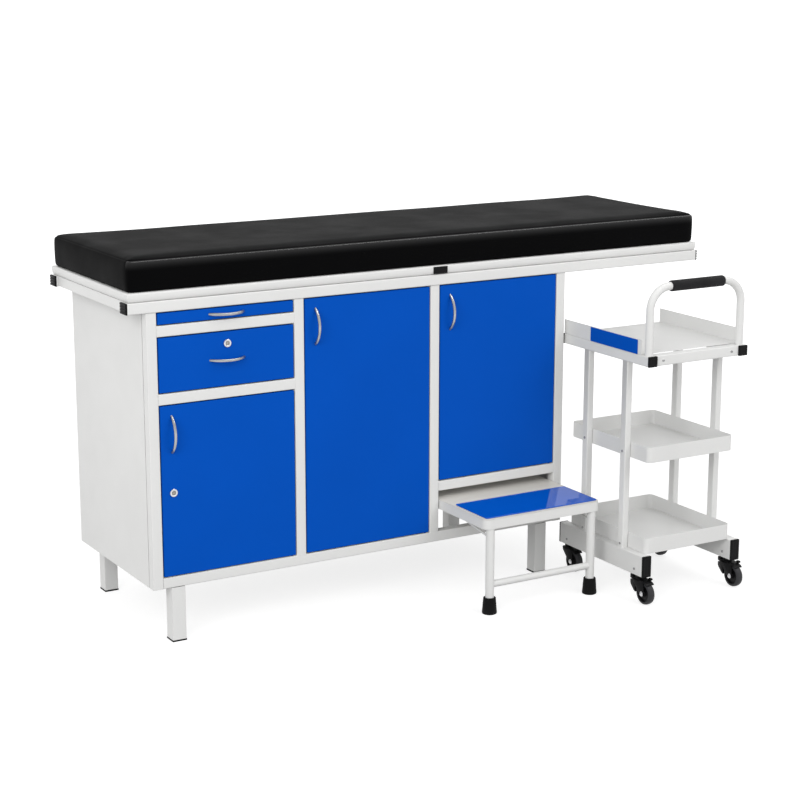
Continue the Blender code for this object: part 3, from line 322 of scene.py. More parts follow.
def skin_group(name):
    """A skin's node group, built the first time it is asked for: clouded colour, uneven gloss and relief."""
    if name in bpy.data.node_groups:
        return bpy.data.node_groups[name]
    scale, pattern = SKINS[name]
    inputs = (
        ("Colour", COLOUR, (0.8, 0.8, 0.8, 1.0)),
        ("Shade", COLOUR, (0.7, 0.7, 0.7, 1.0)),
        ("Relief Scale", NUMBER, scale),
        ("Smoothest", NUMBER, 0.3),
        ("Roughest", NUMBER, 0.4),
    )
    group, source, target = new_group(name, inputs, SKIN_OUTPUTS)
    clouds, gloss, height = pattern(group, object_coords(group), source["Relief Scale"])
    feed(group, target["Colour"], mix_colours(group, clouds, source["Colour"], source["Shade"]))
    rough = remap(group, gloss, *GLOSS_SPREAD, source["Smoothest"], source["Roughest"])
    feed(group, target["Roughness"], rough)
    feed(group, target["Height"], height)
    return group


def shoulder_group():
    """Painted sheen under the mattress's front seam, which fades down the band: a coat put on the front
    shoulder alone, so that the strip lamp's reflection in it shows as a highlight there.
    """
    inputs = (("Seam", NUMBER, 1.0), ("Fade", NUMBER, 0.03), ("Front", NUMBER, 0.0))
    group, source, target = new_group("shoulder_polish", inputs, (("Coat Weight", NUMBER),))
    place = object_place(group)
    below = math_node(group, "SUBTRACT", source["Seam"], place["Z"])
    near = remap(group, math_node(group, "DIVIDE", below, source["Fade"]), 1.0, 0.0)
    under = math_node(group, "GREATER_THAN", below, 0.0)
    # Painted sheen: the coat is kept to the front side alone, where the highlight falls
    facing = math_node(group, "LESS_THAN", place["Y"], source["Front"])
    band = math_node(group, "MULTIPLY", math_node(group, "MULTIPLY", near, near), under)
    feed(group, target["Coat Weight"], math_node(group, "MULTIPLY", band, facing))
    return group


# Finishes whose light on other pieces is kept near neutral, and the grey that stands for it
CALM_FINISHES = ("blue_paint", "blue_mat")
CALM_GREY = (0.22, 0.24, 0.28, 1.0)

# Painted sheen on the mattress's front shoulder (a coat there alone, which takes the strip lamp's
# highlight), and the slope that the step mat's reflections show
SHOULDER_ROUGHNESS = 0.22
SHOULDER_FADE = 0.026
MAT_LEAN = 0.12
RELIEF_STRENGTH = 0.6

# Each finish: its colour property, skin, how dark its clouds are, relief scale and depth, gloss range,
# metallic value and specular level
FINISHES = {
    "white_paint": ("white_paint", "coat_skin", 0.965, 420.0, 0.00006, (0.30, 0.42), 0.0, 0.40),
    "blue_paint": ("blue_paint", "coat_skin", 0.95, 420.0, 0.00006, (0.34, 0.46), 0.0, 0.05),
    "black_vinyl": ("vinyl", "grain_skin", 0.90, 620.0, 0.00005, (0.52, 0.58), 0.0, 0.03),
    "satin_chrome": ("chrome", "satin_skin", 0.90, 900.0, 0.00002, (0.20, 0.32), 1.0, 0.50),
    "satin_nickel": ("nickel", "satin_skin", 0.85, 900.0, 0.00002, (0.24, 0.36), 1.0, 0.50),
    "lock_core": ("lock_core", "satin_skin", 0.75, 900.0, 0.00003, (0.30, 0.45), 1.0, 0.50),
    "zinc": ("zinc", "satin_skin", 0.80, 300.0, 0.00003, (0.30, 0.50), 1.0, 0.50),
    "tread_steel": ("tread", "coat_skin", 0.90, 300.0, 0.00005, (0.34, 0.48), 0.0, 0.40),
    "blue_mat": ("mat", "coat_skin", 0.95, 160.0, 0.00002, (0.02, 0.05), 0.0, 0.50),
    "black_rubber": ("rubber", "grain_skin", 0.70, 900.0, 0.00010, (0.55, 0.70), 0.0, 0.12),
    "black_plastic": ("plastic", "grain_skin", 0.75, 1100.0, 0.00006, (0.40, 0.55), 0.0, 0.12),
    "black_foam": ("foam", "grain_skin", 0.60, 1300.0, 0.00020, (0.70, 0.85), 0.0, 0.25),
    "castor_tyre": ("tyre", "grain_skin", 0.80, 700.0, 0.00008, (0.50, 0.65), 0.0, 0.30),
    "plywood": ("plywood", "ply_skin", 0.70, 60.0, 0.00010, (0.55, 0.70), 0.0, 0.30),
}


def lean(tree, relief, slope):
    """Leans a level surface's reflections towards the front, as if it sloped down that way."""
    inputs = {"Distance": 1.0, "Height": math_node(tree, "MULTIPLY", object_place(tree)["Y"], slope)}
    feed(tree, relief.inputs["Normal"], add_node(tree, "ShaderNodeBump", inputs).outputs["Normal"])


def paint_shoulder_sheen(material, seam, front):
    """Gives the mattress's cover a painted sheen on its front shoulder: a coat on the front alone, in which
    the strip lamp makes a highlight.
    """
    tree = material.node_tree
    inputs = {"Seam": seam, "Fade": SHOULDER_FADE, "Front": front}
    sheen_mask = add_node(tree, "ShaderNodeGroup", inputs, node_tree=shoulder_group())
    shader = tree.nodes["Principled BSDF"].inputs
    feed(tree, shader["Coat Roughness"], SHOULDER_ROUGHNESS)
    feed(tree, shader["Coat Weight"], sheen_mask.outputs["Coat Weight"])


def finish(name):
    """The material of a finish, made the first time it is asked for."""
    label = "couch_" + name
    if label in bpy.data.materials:
        return bpy.data.materials[label]
    source, skin, darkening, scale, depth, (smoothest, roughest), metallic, specular = FINISHES[name]
    base = getattr(bpy.context.scene.couch_colours, source)
    made = bpy.data.materials.new(label)
    made.use_nodes = True
    tree = made.node_tree
    inputs = {
        "Colour": (*base, 1.0),
        "Shade": (*(part * darkening for part in base), 1.0),
        "Relief Scale": scale,
        "Smoothest": smoothest,
        "Roughest": roughest,
    }
    surface = add_node(tree, "ShaderNodeGroup", inputs, node_tree=skin_group(skin)).outputs
    inputs = {"Strength": RELIEF_STRENGTH, "Distance": depth, "Height": surface["Height"]}
    relief = add_node(tree, "ShaderNodeBump", inputs)
    if name == "blue_mat":
        lean(tree, relief, MAT_LEAN)
    tint = surface["Colour"]
    if name in CALM_FINISHES:
        tint = mix_colours(tree, seen_by(tree, "Is Diffuse Ray"), tint, CALM_GREY)
    values = {
        "Base Color": tint,
        "Roughness": surface["Roughness"],
        "Normal": relief.outputs["Normal"],
        "Metallic": metallic,
        "Specular IOR Level": specular,
    }
    for socket, value in values.items():
        feed(tree, tree.nodes["Principled BSDF"].inputs[socket], value)
    return made


# Shapes and pieces


def middle(node):
    low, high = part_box(node)
    return (low + high) / 2


def body_of(node):
    return frame["nodes"][node]["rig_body"]


def joint_places():
    """The point of each moving body's joint."""
    return {joint["child"]: Vector(joint["pos_m"]) for joint in frame["joints"]}


def add_object(name, shape):
    """Puts a bmesh into the scene as an object."""
    mesh = bpy.data.meshes.new(name)
    shape.to_mesh(mesh)
    made = bpy.data.objects.new(name, mesh)
    bpy.context.scene.collection.objects.link(made)
    return made


def add_piece(name, shape, finishes, node="", body="", sharp=SHARP_ANGLE, weighted=False):
    """Makes a finished piece of a bmesh. It stands for a node and rides on its body, or on one named."""
    piece = add_object(name, shape)
    shape.free()
    for label in finishes:
        piece.data.materials.append(finish(label))
    piece.data.shade_smooth()
    piece.data.set_sharp_from_angle(angle=sharp)
    if weighted:
        even = piece.modifiers.new("even_shading", "WEIGHTED_NORMAL")
        even.keep_sharp = True
    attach(piece, body or body_of(node))
    if node:
        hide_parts(node)
    return piece


def node_copy(node):
    """A copy of a frame node, with its loose triangles merged into flat faces."""
    shape = bmesh.new()
    shape.from_mesh(frame["nodes"][node].data)
    bmesh.ops.remove_doubles(shape, verts=shape.verts, dist=MERGE)
    bmesh.ops.dissolve_limit(shape, angle_limit=FLAT_ANGLE, verts=shape.verts, edges=shape.edges)
    for face in shape.faces:
        face.material_index = 0
    return shape


def soften(shape, width, edges=None, segments=2):
    """Rounds the sharp edges of a shape, or those that are named."""
    if edges is None:
        edges = [edge for edge in shape.edges if edge.is_manifold and edge.calc_face_angle() > EDGE_ANGLE]
    bmesh.ops.bevel(
        shape,
        geom=edges,
        offset=width,
        segments=segments,
        profile=0.5,
        affect="EDGES",
        clamp_overlap=True,
        material=-1,
    )


def dress(nodes, label, rounding=0.0):
    """Replaces frame nodes by copies with soft edges, even shading and a finish."""
    for node in nodes:
        shape = node_copy(node)
        if rounding:
            soften(shape, rounding)
        add_piece(node + "_finished", shape, [label], node, weighted=True)


def points_in(geometry):
    return [item for item in geometry if isinstance(item, bmesh.types.BMVert)]


def edges_in(geometry):
    return [item for item in geometry if isinstance(item, bmesh.types.BMEdge)]


def add_box(shape, low, high):
    """Adds a block between two corners, and returns its vertices."""
    low = Vector(low)
    high = Vector(high)
    made = bmesh.ops.create_cube(shape, size=1.0)["verts"]
    bmesh.ops.scale(shape, vec=high - low, verts=made)
    bmesh.ops.translate(shape, vec=(low + high) / 2, verts=made)
    return made


def edges_of(points):
    """The edges whose two ends are both among these vertices."""
    chosen = set(points)
    return [edge for edge in {e for point in points for e in point.link_edges} if set(edge.verts) <= chosen]


def edges_along(points, axis):
    """The edges between these vertices that run along an axis, at least in part."""
    runs = {edge: edge.verts[0].co - edge.verts[1].co for edge in edges_of(points)}
    return [edge for edge, run in runs.items() if abs(run.dot(axis)) > MERGE]


def add_soft_box(shape, low, high, rounding, segments=3):
    made = add_box(shape, low, high)
    soften(shape, rounding, edges_of(made), segments)


def add_hull(shape, points):
    """Wraps points in their convex hull, and drops those inside it."""
    hull = bmesh.ops.convex_hull(shape, input=points)
    spare = set(points_in(hull["geom_interior"] + hull["geom_unused"]))
    bmesh.ops.delete(shape, geom=list(spare), context="VERTS")


def add_taper(shape, sections, rounding):
    """Adds a block over cross sections, each (y, half width, lowest z, highest z), about x = 0."""
    points = []
    for y, half, low, high in sections:
        points += [shape.verts.new((x, y, z)) for x in (-half, half) for z in (low, high)]
    add_hull(shape, points)
    kept = [point for point in points if point.is_valid]
    bmesh.ops.dissolve_limit(shape, angle_limit=FLAT_ANGLE, verts=kept, edges=edges_of(kept))
    kept = [point for point in kept if point.is_valid]
    soften(shape, rounding, [edge for edge in edges_of(kept) if edge.calc_face_angle() > EDGE_ANGLE / 2])


def add_strip(shape, sections, rounding):
    """Adds a bar that runs through cross sections like those of add_taper, and may bend as it goes."""
    before = set(shape.faces)
    rings = []
    for y, half, low, high in sections:
        outline = ((-half, low), (half, low), (half, high), (-half, high))
        points = [shape.verts.new((x, y, z)) for x, z in outline]
        rings.append([shape.edges.new(pair) for pair in zip(points, points[1:] + points[:1])])
    for ring, following in zip(rings, rings[1:]):
        bmesh.ops.bridge_loops(shape, edges=ring + following)
    bmesh.ops.holes_fill(shape, edges=rings[0] + rings[-1], sides=4)
    made = [face for face in shape.faces if face not in before]
    bmesh.ops.recalc_face_normals(shape, faces=made)
    sides = {edge for face in made for edge in face.edges}
    soften(shape, rounding, [edge for edge in sides if edge.calc_face_angle() > EDGE_ANGLE])


def add_rod(shape, start, end, radius, sides=32):
    """Adds a straight round bar between two points."""
    start = Vector(start)
    end = Vector(end)
    reach = end - start
    made = bmesh.ops.create_cone(
        shape, cap_ends=True, segments=sides, radius1=radius, radius2=radius, depth=reach.length
    )["verts"]
    bmesh.ops.rotate(shape, matrix=Z_AXIS.rotation_difference(reach).to_matrix(), verts=made)
    bmesh.ops.translate(shape, vec=(start + end) / 2, verts=made)
    return made


def add_turned(shape, profile, centre, axis, sides=48, material=0):
    """Turns a profile of (radius, distance along the axis) points round the axis, in the order given."""
    axis = Vector(axis)
    across = axis.orthogonal().normalized()
    centre = Vector(centre)
    points = [shape.verts.new(centre + across * radius + axis * along) for radius, along in profile]
    edges = [shape.edges.new(pair) for pair in zip(points, points[1:])]
    before = set(shape.faces)
    bmesh.ops.spin(
        shape, geom=points + edges, cent=centre, axis=axis, angle=FULL_TURN, steps=sides, use_merge=True
    )
    made = [face for face in shape.faces if face not in before]
    corners = list({corner for face in made for corner in face.verts})
    bmesh.ops.remove_doubles(shape, verts=corners, dist=MERGE)
    made = [face for face in shape.faces if face not in before]
    bmesh.ops.recalc_face_normals(shape, faces=made)
    for face in made:
        face.material_index = material
    return made


def mirrored(half, between=()):
    """A closed profile: half of it, what lies between, and the half's mirror image."""
    whole = half + between + tuple((radius, -along) for radius, along in reversed(half))
    return whole + whole[:1]


def add_skirted_panel(shape, low, high, rows, cells):
    """Adds a level panel with a skirt round it, and returns the vertices of each row of the skirt.

    A row says how far in from the box's sides it runs, and how far below the box's top.
    """
    centre = (low + high) / 2
    half = (high - low) / 2
    inset, drop = rows[0]
    made = bmesh.ops.create_grid(shape, x_segments=cells[0], y_segments=cells[1], size=1.0)["verts"]
    bmesh.ops.scale(shape, vec=(half.x - inset, half.y - inset, 1.0), verts=made)
    bmesh.ops.translate(shape, vec=(centre.x, centre.y, high.z - drop), verts=made)
    rim = [edge for edge in shape.edges if edge.is_boundary]
    pivot = Matrix.Translation((-centre.x, -centre.y, 0.0))
    loops = [list({point for edge in rim for point in edge.verts})]
    for next_inset, next_drop in rows[1:]:
        made = bmesh.ops.extrude_edge_only(shape, edges=rim)["geom"]
        loops.append(points_in(made))
        rim = edges_in(made)
        grow = ((half.x - next_inset) / (half.x - inset), (half.y - next_inset) / (half.y - inset), 1.0)
        bmesh.ops.scale(shape, vec=grow, space=pivot, verts=loops[-1])
        bmesh.ops.translate(shape, vec=(0.0, 0.0, drop - next_drop), verts=loops[-1])
        inset, drop = next_inset, next_drop
    return loops


def round_corners(shape, low, high, radius):
    """Rounds the four upright corners, seen from above."""
    centre = (low + high) / 2
    half = (high - low) / 2
    for point in shape.verts:
        out = point.co - centre
        beyond = Vector((abs(out.x) - half.x + radius, abs(out.y) - half.y + radius))
        if min(beyond) > 0.0:
            beyond -= beyond * (max(beyond) / beyond.length)
            point.co.x -= math.copysign(beyond.x, out.x)
            point.co.y -= math.copysign(beyond.y, out.y)


def close_ends(shape):
    """Caps the open ends of a tube and points its faces outwards."""
    rims = [edge for edge in shape.edges if edge.is_boundary]
    bmesh.ops.holes_fill(shape, edges=rims)
    bmesh.ops.recalc_face_normals(shape, faces=shape.faces)


BEND_STEP = 0.06


def swept_tube(start, heading, radius, moves, sides=32):
    """A round tube that runs straight for a length, or bends about an axis by an angle on a radius."""
    shape = bmesh.new()
    place = Vector(start)
    heading = Vector(heading)
    turn = Z_AXIS.rotation_difference(heading).to_matrix().to_4x4()
    bmesh.ops.create_circle(shape, segments=sides, radius=radius, matrix=Matrix.Translation(place) @ turn)
    rim = list(shape.edges)
    for move in moves:
        if move[0] == "run":
            made = bmesh.ops.extrude_edge_only(shape, edges=rim)["geom"]
            step = heading * move[1]
            bmesh.ops.translate(shape, vec=step, verts=points_in(made))
            place = place + step
        else:
            axis, angle, bend = move[1:]
            centre = place + axis.cross(heading) * bend
            made = bmesh.ops.spin(
                shape, geom=rim, cent=centre, axis=axis, angle=angle, steps=max(6, round(angle / BEND_STEP))
            )["geom_last"]
            swing = Matrix.Rotation(angle, 3, axis)
            place = centre + swing @ (place - centre)
            heading = swing @ heading
        rim = edges_in(made)
    close_ends(shape)
    return shape


# Mattress

# Rows of the cover from its top panel outwards: how far in from the side, and how far below the top. The
# seam is the fifth row: the top panel rolls down to it, and the band's shoulder rises from it.
MATTRESS_ROWS = (
    (0.0300, 0.0000),
    (0.0170, 0.0004),
    (0.0100, 0.0016),
    (0.0064, 0.0040),
    (0.0054, 0.0066),
    (0.0040, 0.0066),
    (0.0024, 0.0078),
    (0.0010, 0.0108),
    (0.0003, 0.0160),
    (0.0000, 0.0270),
    (0.0000, 0.0420),
    (0.0004, 0.0570),
    (0.0008, 0.0700),
    (0.0014, 0.0790),
    (0.0032, 0.0835),
    (0.0100, 0.0850),
)
SEAM_ROW = 4
MATTRESS_CELLS = (116, 36)
SIM_FRAMES = 20
SIM_PRESSURE = 4.0
SIM_CAP = 0.003
SEWN = 0.0001
HELD_HEIGHT = 0.003
BOARD_ROUNDING = 0.0005

# Unevenness of the cover: depth and scale of its waves and puckers, and how far top and base reach round
WAVE_DEPTH = 0.0008
WAVE_SCALE = 5.0
PUCKER_DEPTH = 0.0004
PUCKER_SCALE = Vector((38.0, 38.0, 9.0))
BAND_EDGE = 0.006


def mattress_block(low, high):
    """The sewn cover before it is filled: a top panel, a band round it and a bottom panel, all in cells.

    Returns the shape and the seam's vertices.
    """
    shape = bmesh.new()
    stretch = (high.z - low.z) / MATTRESS_ROWS[-1][1]
    rows = [(inset, drop * stretch) for inset, drop in MATTRESS_ROWS]
    loops = add_skirted_panel(shape, low, high, rows, MATTRESS_CELLS)
    panel = list(shape.faces)[: MATTRESS_CELLS[0] * MATTRESS_CELLS[1]]
    under = bmesh.ops.duplicate(shape, geom=panel)["geom"]
    half = (high - low) / 2
    grow = [(side - rows[-1][0]) / (side - rows[0][0]) for side in half.xy]
    pivot = Matrix.Translation(-(low + high) / 2)
    bmesh.ops.scale(shape, vec=(*grow, 1.0), space=pivot, verts=points_in(under))
    bmesh.ops.translate(shape, vec=(0.0, 0.0, -rows[-1][1]), verts=points_in(under))
    return shape, set(loops[SEAM_ROW])


def fill_cover(shape, held):
    """Fills the cover like a tight cushion, by cloth pressure. The seam and the underside are held."""
    cover = add_object("cover", shape)
    fixed = cover.vertex_groups.new(name="held")
    fixed.add(held, 1.0, "REPLACE")
    cloth = cover.modifiers.new("fill", "CLOTH")
    cloth.settings.quality = 6
    cloth.settings.mass = 0.4
    cloth.settings.tension_stiffness = 40.0
    cloth.settings.compression_stiffness = 40.0
    cloth.settings.bending_stiffness = 4.0
    cloth.settings.use_pressure = True
    cloth.settings.uniform_pressure_force = SIM_PRESSURE
    cloth.settings.vertex_group_mass = fixed.name
    cloth.settings.effector_weights.gravity = 0.0
    cloth.point_cache.frame_start = 1
    cloth.point_cache.frame_end = SIM_FRAMES
    scene = bpy.context.scene
    for step in range(1, SIM_FRAMES + 1):
        scene.frame_set(step)
    filled = cover.evaluated_get(bpy.context.evaluated_depsgraph_get()).data
    for point, pushed in zip(shape.verts, filled.vertices):
        moved = pushed.co - point.co
        reach = moved.length
        if reach > 0.0:
            point.co += moved * (SIM_CAP * math.tanh(reach / SIM_CAP) / reach)
    bpy.data.objects.remove(cover)
    scene.frame_set(1)


def ruffle(shape, low, high):
    """Slight unevenness: soft waves over the top, and puckers along the band."""
    shape.normal_update()
    for point in shape.verts:
        if point.co.z < low.z + BAND_EDGE:
            continue
        wave = noise.noise(point.co * WAVE_SCALE) * WAVE_DEPTH
        pucker = noise.noise(point.co * PUCKER_SCALE) * PUCKER_DEPTH
        on_band = 1.0 if point.co.z < high.z - BAND_EDGE else 0.2
        point.co += point.normal * (wave * (1.0 - 0.6 * on_band) + pucker * on_band)


class COUCH_OT_mattress(bpy.types.Operator):
    """Padded mattress: a sewn vinyl cover over foam, crowned, with a seam round its top edge"""

    bl_idname = "couch.mattress"
    bl_label = "Mattress"

    def execute(self, context):
        sizes = context.scene.couch_sizes
        low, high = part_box("mattress")
        shape, seam = mattress_block(low, high)
        centre = (low + high) / 2
        for point in seam:
            inner = Vector((centre.x, centre.y, point.co.z))
            point.co -= (point.co - inner).normalized() * sizes.seam_pull
        bmesh.ops.remove_doubles(shape, verts=shape.verts, dist=SEWN)
        bmesh.ops.recalc_face_normals(shape, faces=shape.faces)
        round_corners(shape, low, high, sizes.mattress_corner)
        shape.verts.index_update()
        base = low.z + HELD_HEIGHT
        fill_cover(shape, [point.index for point in shape.verts if point in seam or point.co.z < base])
        ruffle(shape, low, high)
        seam_height = high.z - MATTRESS_ROWS[SEAM_ROW][1]
        # Painted sheen: a coat on the front shoulder alone, so the strip lamp's highlight shows along the
        # front edge
        paint_shoulder_sheen(finish("black_vinyl"), seam_height, low.y + sizes.mattress_corner)
        piece = add_piece("mattress_cover", shape, ["black_vinyl"], "mattress", sharp=math.pi)
        smooth = piece.modifiers.new("smooth", "SUBSURF")
        smooth.levels = smooth.render_levels = 1
        dress(["mattress_board"], "plywood", BOARD_ROUNDING)
        return {"FINISHED"}


# Cabinet

WELDED_FRAMES = ("top_frame", "face_frame", "back_frame")
SHEET_PANELS = (
    "side_panel_left",
    "side_panel_right",
    "back_panel",
    "floor_panel",
    "step_bay_ceiling",
    "partition_left",
    "partition_right",
    "cupboard_shelf",
)
RIM_ROWS = (
    (0.0060, 0.0000),
    (0.0030, 0.0004),
    (0.0010, 0.0016),
    (0.0001, 0.0036),
    (0.0000, 0.0060),
    (0.0000, 0.0110),
    (0.0006, 0.0160),
    (0.0020, 0.0204),
    (0.0042, 0.0234),
    (0.0070, 0.0250),
)
RIM_CELLS = (60, 18)
RIM_CORNER = 0.004
SHEET = 0.0012
LEGS = ("leg_front_left", "leg_front_right", "leg_back_left", "leg_back_right")


class COUCH_OT_cabinet(bpy.types.Operator):
    """White frame, panels, legs and rim of the cabinet, and the runners and guides inside it"""

    bl_idname = "couch.cabinet"
    bl_label = "Cabinet"

    def execute(self, context):
        rounding = context.scene.couch_sizes.sheet_rounding
        dress(WELDED_FRAMES + LEGS, "white_paint")
        dress(SHEET_PANELS, "white_paint", rounding)
        dress(("drawer_runners", "step_guides"), "zinc")
        dress(["name_plate"], "black_plastic", rounding)
        low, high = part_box("top_sheet")
        shape = bmesh.new()
        add_skirted_panel(shape, low, high, RIM_ROWS, RIM_CELLS)
        round_corners(shape, low, high, RIM_CORNER)
        bmesh.ops.recalc_face_normals(shape, faces=shape.faces)
        top = add_piece("top_sheet_rolled", shape, ["white_paint"], "top_sheet")
        wall = top.modifiers.new("wall", "SOLIDIFY")
        wall.thickness = SHEET
        wall.offset = -1.0
        return {"FINISHED"}


FRONTS = (
    "slim_drawer_front",
    "deep_drawer_front",
    "left_door_panel",
    "middle_door_panel",
    "right_door_panel",
)
DRAWER_TRAYS = ("slim_drawer_tray", "deep_drawer_tray")


class COUCH_OT_fronts(bpy.types.Operator):
    """Blue doors and drawer fronts, and the drawers' trays"""

    bl_idname = "couch.fronts"
    bl_label = "Doors and drawers"

    def execute(self, context):
        dress(FRONTS, "blue_paint")
        dress(DRAWER_TRAYS, "white_paint", context.scene.couch_sizes.sheet_rounding / 2)
        return {"FINISHED"}


HANDLES = {
    "slim_drawer_handle": ("slim_drawer_front", X_AXIS, Z_AXIS),
    "deep_drawer_handle": ("deep_drawer_front", X_AXIS, Z_AXIS),
    "left_door_handle": ("left_door_panel", Z_AXIS, X_AXIS),
    "middle_door_handle": ("middle_door_panel", Z_AXIS, X_AXIS),
    "right_door_handle": ("right_door_panel", Z_AXIS, X_AXIS),
}


BOW_OVERRUN = math.radians(7.0)


def bow_shape(at, along, turn_axis, radius):
    """One arc of round bar on a front, cut flush where its two feet stand."""
    arc = (HANDLE_SPAN ** 2 / 4 + HANDLE_RISE ** 2) / (2 * HANDLE_RISE)
    centre = at + Y_AXIS * (arc - HANDLE_RISE)
    half = math.asin(HANDLE_SPAN / 2 / arc) + BOW_OVERRUN
    shape = bmesh.new()
    turn = Z_AXIS.rotation_difference(along).to_matrix().to_4x4()
    place = Matrix.Translation(centre - Y_AXIS * arc)
    ring = bmesh.ops.create_circle(shape, segments=28, radius=radius, matrix=place @ turn)["verts"]
    bmesh.ops.rotate(shape, cent=centre, matrix=Matrix.Rotation(-half, 3, turn_axis), verts=ring)
    bmesh.ops.spin(shape, geom=list(shape.edges), cent=centre, axis=turn_axis, angle=2 * half, steps=48)
    bmesh.ops.bisect_plane(
        shape,
        geom=list(shape.verts) + list(shape.edges) + list(shape.faces),
        dist=MERGE,
        plane_co=at,
        plane_no=Y_AXIS,
        clear_outer=True,
    )
    close_ends(shape)
    return shape


class COUCH_OT_handles(bpy.types.Operator):
    """Satin bow handles of the doors and drawers"""

    bl_idname = "couch.handles"
    bl_label = "Bow handles"

    def execute(self, context):
        radius = context.scene.couch_sizes.handle_radius
        for node, (front, along, turn_axis) in HANDLES.items():
            at = middle(node)
            at.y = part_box(front)[0].y
            shape = bow_shape(at, along, turn_axis, radius)
            add_piece(node + "_bow", shape, ["satin_nickel"], node)
        return {"FINISHED"}


LOCK_HEAD = (
    (0.0, -0.0024),
    (0.0058, -0.0024),
    (0.0061, -0.0032),
    (0.0070, -0.0040),
    (0.0094, -0.0040),
    (0.0106, -0.0034),
    (0.0110, -0.0022),
    (0.0110, -0.0003),
    (0.0070, -0.0003),
    (0.0070, 0.0118),
    (0.0, 0.0118),
)
LOCK_CORE_RADIUS = 0.0059

# Corners of the key slot and of the cam, from the middle of the lock's face
KEY_SLOT = (Vector((-0.0008, -0.0060, -0.0040)), Vector((0.0008, -0.0006, 0.0040)))
LOCK_CAM = (Vector((0.0, 0.0098, -0.0030)), Vector((0.0180, 0.0118, 0.0030)))
CAM_ROUNDING = 0.0005


def cut_slot(shape, low, high):
    """Cuts a small block out of a shape."""
    cutter = bmesh.new()
    add_box(cutter, low, high)
    blank = add_object("blank", shape)
    slot = add_object("slot", cutter)
    change = blank.modifiers.new("cut", "BOOLEAN")
    change.operation = "DIFFERENCE"
    change.object = slot
    bpy.context.view_layer.update()
    cut = blank.evaluated_get(bpy.context.evaluated_depsgraph_get())
    made = bmesh.new()
    made.from_mesh(bpy.data.meshes.new_from_object(cut))
    for source, thing in ((shape, blank), (cutter, slot)):
        source.free()
        bpy.data.objects.remove(thing)
    return made


class COUCH_OT_locks(bpy.types.Operator):
    """Cam locks of the deep drawer and the left door: bezel, core with a key slot, barrel and cam"""

    bl_idname = "couch.locks"
    bl_label = "Locks"

    def execute(self, context):
        places = joint_places()
        for node in ("deep_drawer_lock", "left_door_lock"):
            at = places[body_of(node)]
            shape = bmesh.new()
            add_turned(shape, LOCK_HEAD, at, Y_AXIS)
            for face in shape.faces:
                spot = face.calc_center_median() - at
                if spot.y < 0.0 and math.hypot(spot.x, spot.z) < LOCK_CORE_RADIUS:
                    face.material_index = 1
            shape = cut_slot(shape, *(at + corner for corner in KEY_SLOT))
            add_soft_box(shape, *(at + corner for corner in LOCK_CAM), CAM_ROUNDING, 2)
            add_piece(node + "_barrel", shape, ["satin_chrome", "lock_core"], node)
        return {"FINISHED"}


# Step

FERRULE = (
    (0.0, 0.0085),
    (0.0126, 0.0085),
    (0.0126, 0.0470),
    (0.0134, 0.0480),
    (0.0164, 0.0480),
    (0.0178, 0.0466),
    (0.0182, 0.0400),
    (0.0186, 0.0385),
    (0.0188, 0.0330),
    (0.0192, 0.0315),
    (0.0200, 0.0180),
    (0.0208, 0.0100),
    (0.0214, 0.0040),
    (0.0208, 0.0012),
    (0.0190, 0.0000),
    (0.0, 0.0),
)
LEG_RADIUS = 0.0125
LEG_NECK = 0.0121
LEG_EDGE = 0.0004
STEP_LEG = (
    (0.0, 0.0090),
    (0.0122, 0.0090),
    (LEG_RADIUS, 0.0094),
    (LEG_RADIUS, 0.1190),
    (LEG_NECK, 0.1195),
    (LEG_NECK, 0.1205),
    (LEG_RADIUS, 0.1210),
)
FERRULES = ("step_ferrule_left", "step_ferrule_right")
TREAD_ROUNDING = 0.0006
MAT_CORNER = 0.006
MAT_ROUNDING = 0.0009


class COUCH_OT_step(bpy.types.Operator):
    """Pull-out step: frame, tread plate, mat, legs with a cross bar and stays, and rubber ferrules"""

    bl_idname = "couch.step"
    bl_label = "Step"

    def execute(self, context):
        dress(["step_frame"], "white_paint")
        dress(["step_tread"], "tread_steel", TREAD_ROUNDING)
        shape = bmesh.new()
        corners = add_box(shape, *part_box("step_mat"))
        soften(shape, MAT_CORNER, edges_along(corners, Z_AXIS), 4)
        soften(shape, MAT_ROUNDING, segments=3)
        add_piece("step_mat_sheet", shape, ["blue_mat"], "step_mat", weighted=True)
        self.build_legs()
        return {"FINISHED"}

    def build_legs(self):
        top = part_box("step_legs")[1].z
        shape = bmesh.new()
        bases = [middle(node) * Vector((1.0, 1.0, 0.0)) for node in FERRULES]
        profile = STEP_LEG + ((LEG_RADIUS, top - LEG_EDGE), (LEG_NECK, top), (0.0, top))
        high = top - STAY_RADIUS
        for base in bases:
            add_turned(shape, profile, base, Z_AXIS, 40)
            start = base + Z_AXIS * (high - STAY_DROP)
            add_rod(shape, start, base + Vector((0.0, STAY_RUN, high)), STAY_RADIUS, 16)
        add_rod(shape, *(base + Z_AXIS * STEP_BAR_HEIGHT for base in bases), STEP_BAR_RADIUS)
        add_piece("step_leg_frame", shape, ["white_paint"], "step_legs", weighted=True)
        for node, base in zip(FERRULES, bases):
            shape = bmesh.new()
            add_turned(shape, FERRULE, base, Z_AXIS)
            add_piece(node + "_rubber", shape, ["black_rubber"], node)


# Trolley

TROLLEY_FRAMES = ("trolley_side_left", "trolley_side_right", "trolley_front_rail")
TROLLEY_TRAYS = ("trolley_top_tray", "trolley_middle_tray", "trolley_bottom_tray")

# Rounded end of the grip: how far in from its side each point lies, and how far from its end
GRIP_END = ((0.0026, 0.0), (0.0008, 0.0008), (0.0, 0.0030))
GRIP_PLAY = 0.0002


